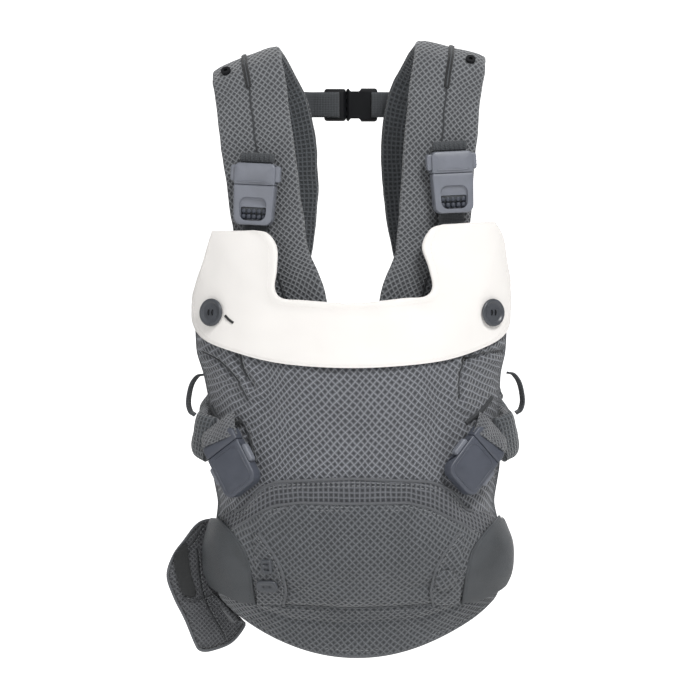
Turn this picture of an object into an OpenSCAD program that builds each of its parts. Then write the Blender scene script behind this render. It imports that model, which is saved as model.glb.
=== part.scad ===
// Soft baby carrier: a padded body panel hung from two shoulder straps and a
// waist belt, with four two-button magnetic buckles and a cross strap behind.
// Frame: +X to the right when looking at the front, +Y towards the wearer, +Z up.
// Origin: centre of the wearer's waist, at the height of the waist belt.

/* [Body panel] */
// Bend of the panel around the baby, half of it, in degrees
wrap_deg = 80; // [76:1:82]
// Thickness of the woven outer shell
shell_t = 3; // [2:0.5:3]
// Thickness of the foam behind the shell
foam_t = 4.4; // [3:0.2:4.4]
// Thickness of the inner mesh liner
liner_t = 2.6; // [1.5:0.1:2.6]
// Thickness of the head support pad
head_pad_t = 11; // [6:1:14]

/* [Bib] */
// Thickness of the cotton bib
bib_t = 2; // [1.5:0.1:2.4]
// Diameter of a bib button
bib_button_d = 28; // [22:1:30]

/* [Straps] */
// Width of a shoulder strap over the chest
strap_w = 75; // [68:1:76]
// Thickness of the strap padding
strap_t = 14; // [10:1:14]
// Width of a strap end where it becomes the side sleeve
sleeve_w = 46; // [38:1:48]
// Extra height of the right shoulder against the left
right_lift = 10; // [0:1:12]

/* [Magnetic buckles] */
// Width of a buckle
buckle_w = 43; // [40:1:44]
// Length of a buckle
buckle_l = 62; // [60:1:64]
// Thickness of a buckle
buckle_t = 13; // [12:0.5:13]
// Radius of a latch magnet
magnet_r = 6; // [5:0.5:6]

/* [Waist belt] */
// Height of the waist belt at its middle
belt_h = 54; // [50:1:54]
// Thickness of the waist belt padding
belt_t = 16; // [10:1:16]
// Height of a belt wing
wing_h = 50; // [40:1:50]
// Thickness of a belt wing
wing_t = 11; // [8:1:11]

/* [Cross strap] */
// Width of the cross strap webbing
cross_w = 25; // [20:1:25]
// Height of the cross strap above the waist
cross_z = 515; // [505:1:520]

/* [Hidden] */
$fn = 48;

// Clear gap between neighbours
gap = 0.3;
// Clear gap between curved layers of cloth and foam
layer_gap = 1.4;
// Running clearance around a moving part
clear = 0.4;
LEFT = -1;
RIGHT = 1;

GREY = [0.42, 0.43, 0.44];
DARK_GREY = [0.22, 0.23, 0.24];
SMOOTH_GREY = [0.3, 0.31, 0.33];
BUCKLE_BLUE = [0.36, 0.39, 0.45];
BLACK = [0.07, 0.07, 0.08];
COTTON = [0.96, 0.95, 0.93];
STEEL = [0.7, 0.71, 0.72];
FOAM = [0.82, 0.82, 0.8];

// ---- The panel's surface ---------------------------------------------------
// Height, half width, y of the middle, y of the side edges, sideways sway
PANEL = [
    [-45, 100, -45, -10, 4],
    [-20, 114, -54, -12, 4],
    [0, 127, -64, -15, 5],
    [20, 138, -84, -19, 5],
    [45, 146, -99, -23, 5],
    [70, 147, -106, -25, 5],
    [95, 141, -109, -26, 4],
    [112, 138, -109, -27, 3],
    [150, 145, -106, -28, 2.5],
    [190, 143, -102, -30, 2],
    [217, 146, -99, -30, 1],
    [242, 149, -96, -30, -1],
    [262, 155, -93, -30, -2],
    [300, 157, -88, -29, -2],
    [340, 156, -84, -28, -1],
    [395, 150, -78, -26, 0]
];
HALF_W = [for (row = PANEL) [row[0], row[1]]];
FRONT_Y = [for (row = PANEL) [row[0], row[2]]];
SIDE_Y = [for (row = PANEL) [row[0], row[3]]];
SWAY = [for (row = PANEL) [row[0], row[4]]];

// A point of the surface: u runs from -1 at the left edge to 1 at the right
function panel_at(u, z) =
    let (
        side = lookup(z, SIDE_Y),
        deep = side - lookup(z, FRONT_Y),
        a = u * wrap_deg
    )
    [
        lookup(z, HALF_W) * sin(a) / sin(wrap_deg) + lookup(z, SWAY),
        side - deep * (cos(a) - cos(wrap_deg)) / (1 - cos(wrap_deg)),
        z
    ];

function unit(v) = v / norm(v);

// The surface's outward direction
function panel_normal(u, z) =
    unit(cross(
        panel_at(u + 0.02, z) - panel_at(u - 0.02, z),
        panel_at(u, z + 8) - panel_at(u, z - 8)
    ));

// A point at a distance in front of the surface
function panel_point(u, z, d) = panel_at(u, z) + d * panel_normal(u, z);

// u of a point given by its x and z
function u_of(x, z) =
    asin(max(-1, min(1, (x - lookup(z, SWAY)) * sin(wrap_deg) / lookup(z, HALF_W))))
    / wrap_deg;

function lerp(a, b, t) = a + (b - a) * t;
function smooth(t) = let (k = max(0, min(1, t))) k * k * (3 - 2 * k);

// ---- General shapes --------------------------------------------------------
// A closed sheet between two equal grids of points, rows by columns
module slab(front, back) {
    rows = len(front);
    cols = len(front[0]);
    n = rows * cols;
    cells = [for (r = [0 : rows - 2], c = [0 : cols - 2]) r * cols + c];
    rim = concat(
        [for (c = [0 : cols - 1]) c],
        [for (r = [1 : rows - 1]) r * cols + cols - 1],
        [for (c = [cols - 2 : -1 : 0]) (rows - 1) * cols + c],
        [for (r = [rows - 2 : -1 : 1]) r * cols]
    );
    polyhedron(
        points = concat([for (row = front) each row], [for (row = back) each row]),
        faces = concat(
            [for (i = cells) each [[i, i + cols, i + cols + 1], [i, i + cols + 1, i + 1]]],
            [for (i = cells)
                each [[n + i, n + i + cols + 1, n + i + cols], [n + i, n + i + 1, n + i + cols + 1]]],
            [for (k = [0 : len(rim) - 1])
                let (a = rim[k], b = rim[(k + 1) % len(rim)])
                each [[a, b, n + b], [a, n + b, n + a]]]
        )
    );
}

// A layer of the panel. at(s, t) gives [u, z] for s from -1 to 1 and t from 0 to 1
module layer(at, inner, outer, cols, rows) {
    grid = [for (j = [0 : rows]) [for (i = [0 : cols]) at(2 * i / cols - 1, j / rows)]];
    slab(
        [for (row = grid) [for (q = row) panel_point(q[0], q[1], outer)]],
        [for (row = grid) [for (q = row) panel_point(q[0], q[1], inner)]]
    );
}

// A layer between two side curves, each a table of z and x
module outlined_layer(left, right, z0, z1, inner, outer, cols, rows) {
    layer(
        function (s, t)
            let (
                z = lerp(z0, z1, t),
                x = lerp(lookup(z, left), lookup(z, right), (s + 1) / 2)
            )
            [max(-1, min(1, u_of(x, z))), z],
        inner, outer, cols, rows
    );
}

// A padded band swept through stations: centre, width direction, width, thickness
module band(stations, sides = 12, round = 0.45) {
    last = len(stations) - 1;
    function tangent(i) =
        unit(stations[min(last, i + 1)][0] - stations[max(0, i - 1)][0]);
    function ring(i) =
        let (
            t = tangent(i),
            hint = stations[i][1],
            w = unit(hint - (hint * t) * t),
            n = cross(t, w)
        )
        [for (k = [0 : sides - 1])
            let (a = 360 * k / sides + 180 / sides)
            stations[i][0]
                + w * stations[i][2] / 2 * sign(cos(a)) * pow(abs(cos(a)), round)
                + n * stations[i][3] / 2 * sign(sin(a)) * pow(abs(sin(a)), round)];
    polyhedron(
        points = [for (i = [0 : last]) each ring(i)],
        faces = concat(
            [[for (k = [0 : sides - 1]) k]],
            [[for (k = [sides - 1 : -1 : 0]) last * sides + k]],
            [for (i = [0 : last - 1], k = [0 : sides - 1])
                let (
                    a = i * sides + k,
                    b = i * sides + (k + 1) % sides
                )
                each [[a, a + sides, b + sides], [a, b + sides, b]]]
        )
    );
}

// An upright plate with rounded corners: its back at y = 0, its front at y = -t
module plate(w, h, t, r) {
    rotate([90, 0, 0])
        linear_extrude(t) {
            square([w - 2 * r, h], center = true);
            square([w, h - 2 * r], center = true);
            for (x = [-1, 1], z = [-1, 1])
                translate([x * (w / 2 - r), z * (h / 2 - r)])
                    circle(r);
        }
}

// A block given by its lowest and highest corners
module block(low, high) {
    translate(low)
        cube(high - low);
}

// A disc with its back at y = 0 and its front at y = -t
module disc(r, t) {
    rotate([90, 0, 0])
        cylinder(r = r, h = t);
}

// Puts a piece flat on the panel at x and z, a distance in front of the surface
module on_panel(x, z, d) {
    u = u_of(x, z);
    n = panel_normal(u, z);
    translate(panel_point(u, z, d))
        rotate([-asin(n[2]), 0, atan2(n[0], -n[1])])
            children();
}

// ---- Body panel ------------------------------------------------------------
belt_bottom = -45;
// How far the belt's edges rise from the middle to the side edges
belt_rise = 62;
neck_z = 306;
ear_rise = 24;
ear_from_x = 68;
ear_run = 26;
seat_back = 0.9;
seat_front = 3.6;
patch_front = 6.7;

function belt_low(u) = belt_bottom + belt_rise * u * u;
function belt_high(u) = belt_low(u) + belt_h;
function panel_top(u) =
    neck_z + ear_rise * smooth((abs(panel_at(u, neck_z)[0]) - ear_from_x) / ear_run);

// [u, z] over the whole panel, between the belt and the neck line
function whole_panel(s, t, inset) =
    let (u = s * (1 - inset / 150))
    [u, lerp(belt_high(u) + 0.5 + inset, panel_top(u) - inset, t)];

module outer_panel() {
    color(GREY)
        layer(function (s, t) whole_panel(s, t, 0), -shell_t, 0, 24, 18);
}

module panel_foam() {
    color(FOAM)
        layer(
            function (s, t) whole_panel(s, t, 6),
            -shell_t - layer_gap - foam_t, -shell_t - layer_gap, 20, 14
        );
}

liner_front = -shell_t - foam_t - 2.2 * layer_gap;
module inner_liner() {
    color(DARK_GREY)
        layer(function (s, t) whole_panel(s, t, 1), liner_front - liner_t, liner_front, 20, 14);
}

module head_support() {
    front = liner_front - liner_t - gap;
    color(GREY)
        layer(
            function (s, t) [0.4 * s, lerp(204, 262, t)],
            front - head_pad_t, front, 10, 6
        );
}

// ---- Bib -------------------------------------------------------------------
// Pairs of points, x and z, on the inner and outer edge, from lobe to lobe
BIB = [
    [[-97, 384], [-139, 384]],
    [[-84, 381], [-143, 371]],
    [[-75, 367], [-148, 353]],
    [[-75, 345], [-155, 331]],
    [[-77, 326], [-160, 304]],
    [[-70, 316], [-149, 277]],
    [[-50, 314], [-112, 261]],
    [[-25, 312], [-65, 250]],
    [[0, 311], [0, 246]],
    [[25, 313], [65, 250]],
    [[50, 316], [108, 259]],
    [[71, 318], [146, 277]],
    [[78, 328], [156, 301]],
    [[74, 348], [156, 328]],
    [[68, 368], [152, 352]],
    [[76, 385], [148, 378]],
    [[88, 390], [140, 394]]
];
bib_back = 3.5;
bib_cols = 6;

module bib() {
    color(COTTON)
        slab(
            [for (pair = BIB) bib_row(pair, bib_back + bib_t)],
            [for (pair = BIB) bib_row(pair, bib_back)]
        );
}

function bib_row(pair, d) =
    [for (i = [0 : bib_cols])
        let (q = lerp(pair[0], pair[1], i / bib_cols))
        panel_point(u_of(q[0], q[1]), q[1], d)];

// Centres of the two bib buttons, x and z
BIB_BUTTONS = [[-138, 302], [136, 302]];
module bib_buttons() {
    color(DARK_GREY)
        for (c = BIB_BUTTONS)
            on_panel(c[0], c[1], bib_back + bib_t + 1.4)
                bib_button();
}

module bib_button() {
    difference() {
        union() {
            disc(bib_button_d / 2, 3);
            translate([0, 1, 0])
                disc(3.2, 2);
        }
        translate([0, -2.2, 0])
            disc(bib_button_d / 2 - 3.5, 2);
    }
}

// ---- Seat ------------------------------------------------------------------
// Top edge of the seat panel: x and z
SEAT_TOP = [
    [-150, 100], [-110, 104], [-92, 126], [-75, 133], [0, 136],
    [75, 133], [96, 126], [112, 104], [150, 100]
];

module seat_panel() {
    color(GREY)
        layer(
            function (s, t)
                let (u = s, x = panel_at(u, 110)[0])
                [u, lerp(belt_low(u) + 1.5, lookup(x, SEAT_TOP), t)],
            seat_back, seat_front, 24, 12
        );
}

// Side curves of the smooth leg patches, z and x
PATCH_OUTER = [[13, 104], [20, 122], [29, 138], [42, 143], [69, 144], [94, 138], [96, 136]];
PATCH_INNER = [[13, 96.5], [44, 100], [65, 105], [85, 121], [96, 132]];

module leg_patch(side) {
    near = [for (q = PATCH_INNER) [q[0], side * q[1] + (side > 0 ? 11 : 0)]];
    far = [for (q = PATCH_OUTER) [q[0], side * q[1] + (side > 0 ? 10 : 0)]];
    color(SMOOTH_GREY)
        outlined_layer(
            side < 0 ? far : near, side < 0 ? near : far,
            14, 95, seat_front + layer_gap, patch_front, 8, 12
        );
}
module leg_patch_left() { leg_patch(LEFT); }
module leg_patch_right() { leg_patch(RIGHT); }

// Side curve of a seat tab towards the middle, z and x
TAB_INNER = [[10, 69], [26, 65], [45, 69], [62, 77], [76, 88], [84, 94]];
tab_outer_x = 94;
module seat_tab(side) {
    shift = side > 0 ? 11 : 0;
    near = [for (q = TAB_INNER) [q[0], side * q[1] + shift]];
    far = [[10, side * tab_outer_x + shift], [84, side * (tab_outer_x + 3) + shift]];
    color(GREY)
        outlined_layer(
            side < 0 ? far : near, side < 0 ? near : far,
            12, 82, seat_front + layer_gap, seat_front + layer_gap + 2, 5, 8
        );
}
module seat_tab_left() { seat_tab(LEFT); }
module seat_tab_right() { seat_tab(RIGHT); }

tab_front = seat_front + layer_gap + 2;
module seat_button() {
    color(DARK_GREY)
        on_panel(-83, 32, tab_front + 1)
            plate(24, 13, 3.5, 6);
}
module seat_keeper() {
    color(BUCKLE_BLUE)
        on_panel(-83, 50, tab_front + 0.8)
            plate(12, 15, 2.5, 2);
}
module covered_button() {
    color(GREY)
        on_panel(90, 38, tab_front + 1)
            disc(11.5, 3.5);
}

// ---- Waist belt ------------------------------------------------------------
belt_u = 0.78;
module waist_belt() {
    color(GREY)
        layer(
            function (s, t) let (u = s * belt_u) [u, lerp(belt_low(u), belt_high(u), t)],
            -belt_t, 0, 20, 6
        );
}

// Centre line of a belt wing, for the left side
WING = [[-111, -26, 22], [-113, 0, 23], [-112, 35, 24], [-105, 68, 23], [-93, 96, 21]];
// Height of the wing at each point of that line, as a share of wing_h
WING_TAPER = [1, 1, 1, 0.9, 0.7];

function sided(p, side) = [-side * p[0], p[1], p[2]];
function wing_shift(side) = side > 0 ? [8, 0, 0] : [0, 0, 0];

module belt_wing(side) {
    color(GREY)
        band([for (i = [0 : len(WING) - 1])
            [sided(WING[i], side) + wing_shift(side), [0, 0, 1], wing_h * WING_TAPER[i], wing_t]]);
}
module belt_wing_left() { belt_wing(LEFT); }
module belt_wing_right() { belt_wing(RIGHT); }

// Direction in which a wing ends, degrees from +Y towards the middle
wing_end_deg = 25;
module at_wing_end(side, along) {
    translate(sided([-93, 96, 21], side) + wing_shift(side))
        rotate([0, 0, side * wing_end_deg])
            translate([0, along, 0])
                children();
}

module belt_webbing_right() {
    color(DARK_GREY)
        at_wing_end(RIGHT, 0)
            block([-1, 1.5, -12.5], [1, 21, 12.5]);
}

socket_l = 32;
module belt_buckle_socket() {
    color(BLACK)
        at_wing_end(LEFT, 1.8)
            difference() {
                rotate([0, 0, 90])
                    translate([socket_l / 2, 5.5, 0])
                        plate(socket_l, 36, 11, 5);
                block([-3, 13, -13], [3, socket_l + 1, 13]);
            }
}

module belt_buckle_plug() {
    color(BLACK)
        at_wing_end(RIGHT, 21.4)
            union() {
                rotate([0, 0, 90])
                    translate([8, 5, 0])
                        plate(16, 34, 10, 4);
                for (z = [-1, 1])
                    block([-2.4, 15.9, z * 8 - 4], [2.4, 32, z * 8 + 4]);
            }
}

// ---- Storage pouch on the left wing ----------------------------------------
pouch_y0 = -14;
pouch_y1 = 30;
pouch_wall = 3;
POUCH = [
    [-155, 90], [-171, 71], [-181, 57], [-187, 37], [-180, 15], [-169, -7], [-159, -31], [-154, -38],
    [-143, -38], [-123, -30], [-110, -14], [-112, -9], [-120, -5], [-120, 86], [-136, 93]
];
POUCH_INSIDE = [
    [-153, 86], [-168, 69], [-178, 55], [-183, 37], [-177, 16], [-166, -8], [-156, -32], [-152, -35],
    [-143, -35], [-124, -27], [-115, -15], [-123, -9], [-123, 110], [-150, 110]
];

module pouch_outline(points, y0, y1) {
    translate([0, y1, 0])
        rotate([90, 0, 0])
            linear_extrude(y1 - y0)
                polygon(points);
}

module pouch() {
    color(GREY)
        difference() {
            pouch_outline(POUCH, pouch_y0, pouch_y1);
            pouch_outline(POUCH_INSIDE, pouch_y0 + pouch_wall, pouch_y1 - pouch_wall);
        }
}

module pouch_band() {
    color(DARK_GREY)
        pouch_outline(
            [[-180, 57], [-171, 70], [-159, 66], [-165, 38], [-160, 17], [-174, 15], [-184, 37]],
            pouch_y0 - gap - 1.6, pouch_y0 - gap
        );
}

// ---- Shoulder straps -------------------------------------------------------
// Centre, width direction and share of the full width, for the left side
STRAP_FRONT = [
    [[-62, -50, 268], [0.96, -0.28, 0], 0.9],
    [[-70, -51, 315], [0.96, -0.28, 0], 1],
    [[-79, -52, 355], [0.96, -0.28, 0], 1],
    [[-87, -51, 405], [0.96, -0.28, 0], 1],
    [[-93, -50, 450], [0.97, -0.25, 0.05], 1],
    [[-99, -45, 490], [0.98, -0.15, 0.15], 0.98],
    [[-103, -37, 522], [0.94, -0.05, 0.3], 0.98],
    [[-106, -27, 542], [0.93, 0, 0.37], 0.98],
    [[-107, -9, 553.5], [0.93, 0, 0.37], 0.98],
    [[-107, 3.7, 553.5], [0.93, 0, 0.37], 0.98]
];
STRAP_BACK = [
    [[-107, 4.3, 553.5], [0.93, 0, 0.37], 0.98],
    [[-107, 11, 553.5], [0.93, 0, 0.37], 0.98],
    [[-103, 25, 548], [0.93, 0, 0.37], 0.98],
    [[-93, 42, 532], [0.95, 0.05, 0.3], 0.96],
    [[-80, 58, 504], [0.98, 0.1, 0.15], 0.98],
    [[-73, 70, 465], [0.99, 0.1, 0.05], 0.98],
    [[-72, 76, 415], [0.99, 0.1, 0], 0.97],
    [[-77, 77, 360], [0.98, 0.15, 0.1], 0.92],
    [[-93, 70, 305], [0.9, 0.2, 0.35], 0.8],
    [[-114, 56, 258], [0.75, 0.2, 0.6], 0.7],
    [[-133, 36, 229], [0.5, 0.1, 0.85], 0.64],
    [[-137, 30, 223], [0.5, 0.1, 0.85], 0.64]
];
SLEEVE = [
    [[-137.3, 29.6, 222.6], [0.5, 0.1, 0.85]],
    [[-140, 25.5, 218.5], [0.5, 0.05, 0.85]],
    [[-143, 10, 206], [0.45, -0.2, 0.87]],
    [[-152.5, -16, 189], [0.3, -0.3, 0.9]],
    [[-154.5, -41, 180], [0.15, -0.3, 0.93]],
    [[-142, -58, 174], [0.4, -0.3, 0.85]]
];

// The right shoulder sits higher and closer to the middle than the left
function strap_point(p, side) =
    side < 0 ? p
    : let (k = smooth((p[2] - 315) / 200))
      [-p[0] - 9 * k, p[1], p[2] + right_lift * k];

function strap_dir(v, side) =
    side < 0 ? v
    : [-v[0], v[1], v[2] * 0.6];

module strap(table, side) {
    color(GREY)
        band([for (row = table)
            [strap_point(row[0], side), strap_dir(row[1], side), strap_w * row[2], strap_t]]);
}
module strap_front_left() { strap(STRAP_FRONT, LEFT); }
module strap_front_right() { strap(STRAP_FRONT, RIGHT); }
module strap_back_left() { strap(STRAP_BACK, LEFT); }
module strap_back_right() { strap(STRAP_BACK, RIGHT); }

// The right sleeve stands further out than the left one, but joins its strap alike
function sleeve_point(i, side) =
    sided(SLEEVE[i][0], side) + (side > 0 && i > 1 ? [4, 0, 0] : [0, 0, 0]);

module sleeve(side) {
    color(GREY)
        band([for (i = [0 : len(SLEEVE) - 1])
            [sleeve_point(i, side), sided(SLEEVE[i][1], side),
             lerp(strap_w * 0.64, sleeve_w, i / 5), lerp(strap_t, 11, i / 5)]]);
}
module sleeve_left() { sleeve(LEFT); }
module sleeve_right() { sleeve(RIGHT); }

// Frame of the front strap at station i: centre, width direction, outward direction
function front_centre(i, side) = strap_point(STRAP_FRONT[i][0], side);
function front_frame(i, side) =
    let (
        last = len(STRAP_FRONT) - 1,
        t = unit(front_centre(min(last, i + 1), side) - front_centre(i - 1, side)),
        hint = strap_dir(STRAP_FRONT[i][1], side),
        w = unit(hint - (hint * t) * t),
        n = cross(t, w)
    )
    [front_centre(i, side), w, side * n];

// A point of the strap's front: k is a station and a fraction, across runs outwards
function front_face(k, side, across, d) =
    let (
        a = front_frame(floor(k), side),
        b = front_frame(floor(k) + 1, side),
        f = k - floor(k)
    )
    lerp(a[0], b[0], f) - across * lerp(a[1], b[1], f)
        + (strap_t / 2 + d) * lerp(a[2], b[2], f);
function front_normal(k, side) =
    unit(lerp(front_frame(floor(k), side)[2], front_frame(floor(k) + 1, side)[2], k - floor(k)));

// A narrow tape on each strap's centre seam, at the shoulder
tape_t = 1.6;
module strap_tapes() {
    color(BLACK)
        for (side = [LEFT, RIGHT])
            band([for (k = [6.5, 7, 8, 8.6])
                [front_face(k, side, 1, 2 * layer_gap + tape_t / 2), [1, 0, 0], 6, tape_t]], sides = 8);
}

// Snap sockets for a hood, one on the outer side of each shoulder
snap_r = 5;
snap_bore_r = 2;
snap_t = 3;
snap_station = 7.2;
snap_across = 20;
module strap_snaps() {
    color(BLACK)
        for (side = [LEFT, RIGHT]) {
            n = front_normal(snap_station, side);
            translate(front_face(snap_station, side, snap_across, layer_gap))
                rotate([-asin(n[2]), 0, atan2(n[0], -n[1])])
                    difference() {
                        disc(snap_r, snap_t);
                        translate([0, 1, 0])
                            disc(snap_bore_r, snap_t + 2);
                    }
        }
}

// ---- Finger loops ----------------------------------------------------------
LOOP = [
    [-150, -14, 240], [-157, -14, 238], [-163, -14, 229],
    [-166, -14, 213], [-164, -14, 203], [-159, -14, 199]
];
module finger_loop(side) {
    color(DARK_GREY)
        band([for (p = LOOP)
            [sided(p, side) + (side > 0 ? [5, 0, 2] : [0, 0, 0]), [0, 1, 0], 13, 2.2]], sides = 8);
}
module finger_loop_left() { finger_loop(LEFT); }
module finger_loop_right() { finger_loop(RIGHT); }

// ---- Cross strap behind the shoulders --------------------------------------
cross_y = 84;
// Stations from the strap's back to the clip: place, then the width's direction
CROSS_WEB = [
    [[-80, 62.7, 516], [0, -0.42, 0.91]],
    [[-66, 65.8, 516], [0, -0.42, 0.91]],
    [[-54, 73, 515.5], [0, -0.25, 0.97]],
    [[-44, 81.5, 515], [0, 0, 1]],
    [[-38, cross_y, cross_z], [0, 0, 1]],
    [[-30.5, cross_y, cross_z], [0, 0, 1]]
];
// The right webbing lies further in, where the strap's back stands higher
RIGHT_WEB_SHIFT = [-5, 3.6, 0];
function cross_point(i, side) =
    sided(CROSS_WEB[i][0], side)
        + (side < 0 ? [0, 0, 0] : i < 2 ? RIGHT_WEB_SHIFT : [RIGHT_WEB_SHIFT[0], 0, 0]);

module cross_web(side) {
    color(DARK_GREY)
        band([for (i = [0 : len(CROSS_WEB) - 1])
            [cross_point(i, side), CROSS_WEB[i][1], cross_w, 3.2]], sides = 8);
}
module cross_web_left() { cross_web(LEFT); }
module cross_web_right() { cross_web(RIGHT); }

// The clip's halves, back at cross_y + 5 and front at cross_y - 5
module cross_clip_socket() {
    color(BLACK)
        difference() {
            translate([9, cross_y + 5, cross_z])
                plate(32, 34, 10, 3);
            // cavity for the plug's prongs
            block([-8, cross_y - 3, cross_z - 14.3], [13, cross_y + 3, cross_z + 14.3]);
            // side notches where the prongs are pressed
            for (z = [-1, 1])
                translate([0, cross_y, cross_z + z * 14.5])
                    block([-3, -6, -3.5], [9, 6, 3.5]);
        }
}

module cross_clip_plug() {
    color(BLACK)
        union() {
            translate([-18.4, cross_y + 5, cross_z])
                plate(22, 32, 10, 3);
            // centre guide
            block([-8.6, cross_y - 2.4, cross_z - 2], [11, cross_y + 2.4, cross_z + 2]);
        }
}

module clip_prong(side) {
    z = cross_z + side * 8.6;
    color(BLACK)
        union() {
            block([-7.1, cross_y - 2.4, z - 1.8], [11, cross_y + 2.4, z + 1.8]);
            block([-2, cross_y - 2.4, z + side * 3.5 - 1.8], [8, cross_y + 2.4, z + side * 3.5 + 1.8]);
        }
}
module clip_prong_top() { clip_prong(1); }
module clip_prong_bottom() { clip_prong(-1); }

// ---- Magnetic buckles ------------------------------------------------------
// Where each buckle's back face has its centre
TOP_AT = [[-96.5, -61, 421], [97.5, -61, 433]];
SIDE_AT = [[-117, -79, 151], [117, -79, 153]];
top_yaw = 16;
top_lean = 3;
side_yaw = 36;
// Turn of the left and the right side buckle, degrees from upright
SIDE_TURN = [148, 137];
top_split = 9;
side_split = -17;
TOP_BUTTON = [12, 29];
SIDE_BUTTON = [-9, 11];

// In a buckle's own frame z runs from the tongue to the housing, and -y outwards
module top_place(side) {
    translate(TOP_AT[side < 0 ? 0 : 1])
        rotate([0, side * -top_lean, side * top_yaw])
            children();
}
module side_place(side) {
    translate(SIDE_AT[side < 0 ? 0 : 1])
        rotate([0, -side * SIDE_TURN[side < 0 ? 0 : 1], side * side_yaw])
            children();
}

magnet_t = 3;
tab_w = 18;
tab_l = 8;
pocket_x = buckle_w / 2 - 6.5;
button_x0 = buckle_w / 2 - 3.6;
button_out = 4.5;

module magnet_seat(z) {
    translate([0, 0.5, z])
        disc(magnet_r + 0.2, magnet_t + 0.9);
}

// The half with the two buttons, from the split up to the end
module housing(split, buttons) {
    low = split + gap;
    high = buckle_l / 2;
    color(BUCKLE_BLUE)
        difference() {
            translate([0, 0, (low + high) / 2])
                plate(buckle_w, high - low, buckle_t, 5);
            // side pockets for the buttons
            for (s = [-1, 1])
                translate([s * (pocket_x + 6), 0, 0])
                    block([-6, -10.4, buttons[0]], [6, -2.9, buttons[1]]);
            // slot for the tongue's tab
            block([-tab_w / 2 - clear, -9.4, split - 1], [tab_w / 2 + clear, -4.6, split + tab_l + clear]);
            magnet_seat(split + 11);
        }
}

// The half that is gripped, from its end up to the split
module tongue(split, window) {
    low = -buckle_l / 2;
    color(BUCKLE_BLUE)
        difference() {
            union() {
                translate([0, 0, (low + split) / 2])
                    plate(buckle_w, split - low, buckle_t, min(5, (split - low) / 2 - 0.5));
                block([-tab_w / 2, -9, split - 1], [tab_w / 2, -5, split + tab_l]);
            }
            if (window) {
                // webbing slot with a sloped recess above it
                translate([-14, 0, 0])
                    rotate([90, 0, 90])
                        linear_extrude(28)
                            polygon([[-20, -27], [5, -27], [5, -14], [-8.5, -14], [-14, -2], [-20, -2]]);
                magnet_seat(1);
            }
        }
}

module side_button(buttons, s) {
    h = buttons[1] - buttons[0] - 2 * clear;
    w = 3.6 + button_out;
    color(BUCKLE_BLUE)
        translate([s * (button_x0 + w / 2), -3.3, (buttons[0] + buttons[1]) / 2])
            plate(w, h, 6.7, 2.5);
}

module magnet(z) {
    color(STEEL)
        translate([0, -0.2, z])
            disc(magnet_r, magnet_t);
}

module knuckle() {
    color(DARK_GREY)
        translate([0, -1.5, buckle_l / 2 + gap + 5])
            plate(36, 10, 5, 2);
}

module top_housing_left() { top_place(LEFT) housing(top_split, TOP_BUTTON); }
module top_housing_right() { top_place(RIGHT) housing(top_split, TOP_BUTTON); }
module side_housing_left() { side_place(LEFT) housing(side_split, SIDE_BUTTON); }
module side_housing_right() { side_place(RIGHT) housing(side_split, SIDE_BUTTON); }
module top_button_left_outer() { top_place(LEFT) side_button(TOP_BUTTON, -1); }
module top_button_left_inner() { top_place(LEFT) side_button(TOP_BUTTON, 1); }
module top_button_right_outer() { top_place(RIGHT) side_button(TOP_BUTTON, 1); }
module top_button_right_inner() { top_place(RIGHT) side_button(TOP_BUTTON, -1); }
module side_button_left_upper() { side_place(LEFT) side_button(SIDE_BUTTON, -1); }
module side_button_left_lower() { side_place(LEFT) side_button(SIDE_BUTTON, 1); }
module side_button_right_upper() { side_place(RIGHT) side_button(SIDE_BUTTON, 1); }
module side_button_right_lower() { side_place(RIGHT) side_button(SIDE_BUTTON, -1); }
module top_magnet_left() { top_place(LEFT) magnet(top_split + 11); }
module top_magnet_right() { top_place(RIGHT) magnet(top_split + 11); }
module side_magnet_left() { side_place(LEFT) magnet(side_split + 11); }
module side_magnet_right() { side_place(RIGHT) magnet(side_split + 11); }
module top_knuckle_left() { top_place(LEFT) knuckle(); }
module top_knuckle_right() { top_place(RIGHT) knuckle(); }

module top_tongues() {
    for (side = [LEFT, RIGHT])
        top_place(side)
            tongue(top_split, true);
}
module side_tongues() {
    for (side = [LEFT, RIGHT])
        side_place(side)
            tongue(side_split, false);
}
module tongue_magnets() {
    for (side = [LEFT, RIGHT])
        top_place(side)
            magnet(1);
}

// Webbing from each top buckle's window down behind the bib: distance and height
BUCKLE_WEB = [
    [-8, -15.5], [-6, -18], [-2.4, -22], [1, -25.6],
    [1.7, -30], [1.7, -50], [1.7, -80]
];
module buckle_webbing() {
    color(DARK_GREY)
        for (side = [LEFT, RIGHT])
            top_place(side)
                band([for (p = BUCKLE_WEB)
                    [[0, p[0], p[1]], [1, 0, 0], 26, 1.4]], sides = 8);
}

outer_panel();
panel_foam();
inner_liner();
head_support();
bib();
bib_buttons();
seat_panel();
leg_patch_left();
leg_patch_right();
seat_tab_left();
seat_tab_right();
seat_button();
seat_keeper();
covered_button();
waist_belt();
belt_wing_left();
belt_wing_right();
belt_webbing_right();
belt_buckle_socket();
belt_buckle_plug();
pouch();
pouch_band();
strap_front_left();
strap_front_right();
strap_back_left();
strap_back_right();
strap_tapes();
strap_snaps();
sleeve_left();
sleeve_right();
finger_loop_left();
finger_loop_right();
cross_web_left();
cross_web_right();
cross_clip_socket();
cross_clip_plug();
clip_prong_top();
clip_prong_bottom();
top_housing_left();
top_housing_right();
side_housing_left();
side_housing_right();
top_button_left_outer();
top_button_left_inner();
top_button_right_outer();
top_button_right_inner();
side_button_left_upper();
side_button_left_lower();
side_button_right_upper();
side_button_right_lower();
top_magnet_left();
top_magnet_right();
side_magnet_left();
side_magnet_right();
top_knuckle_left();
top_knuckle_right();
top_tongues();
side_tongues();
tongue_magnets();
buckle_webbing();
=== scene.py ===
"""Looks of a soft baby carrier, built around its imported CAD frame. Metres, +Z up, +Y towards the wearer."""
import math

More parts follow.
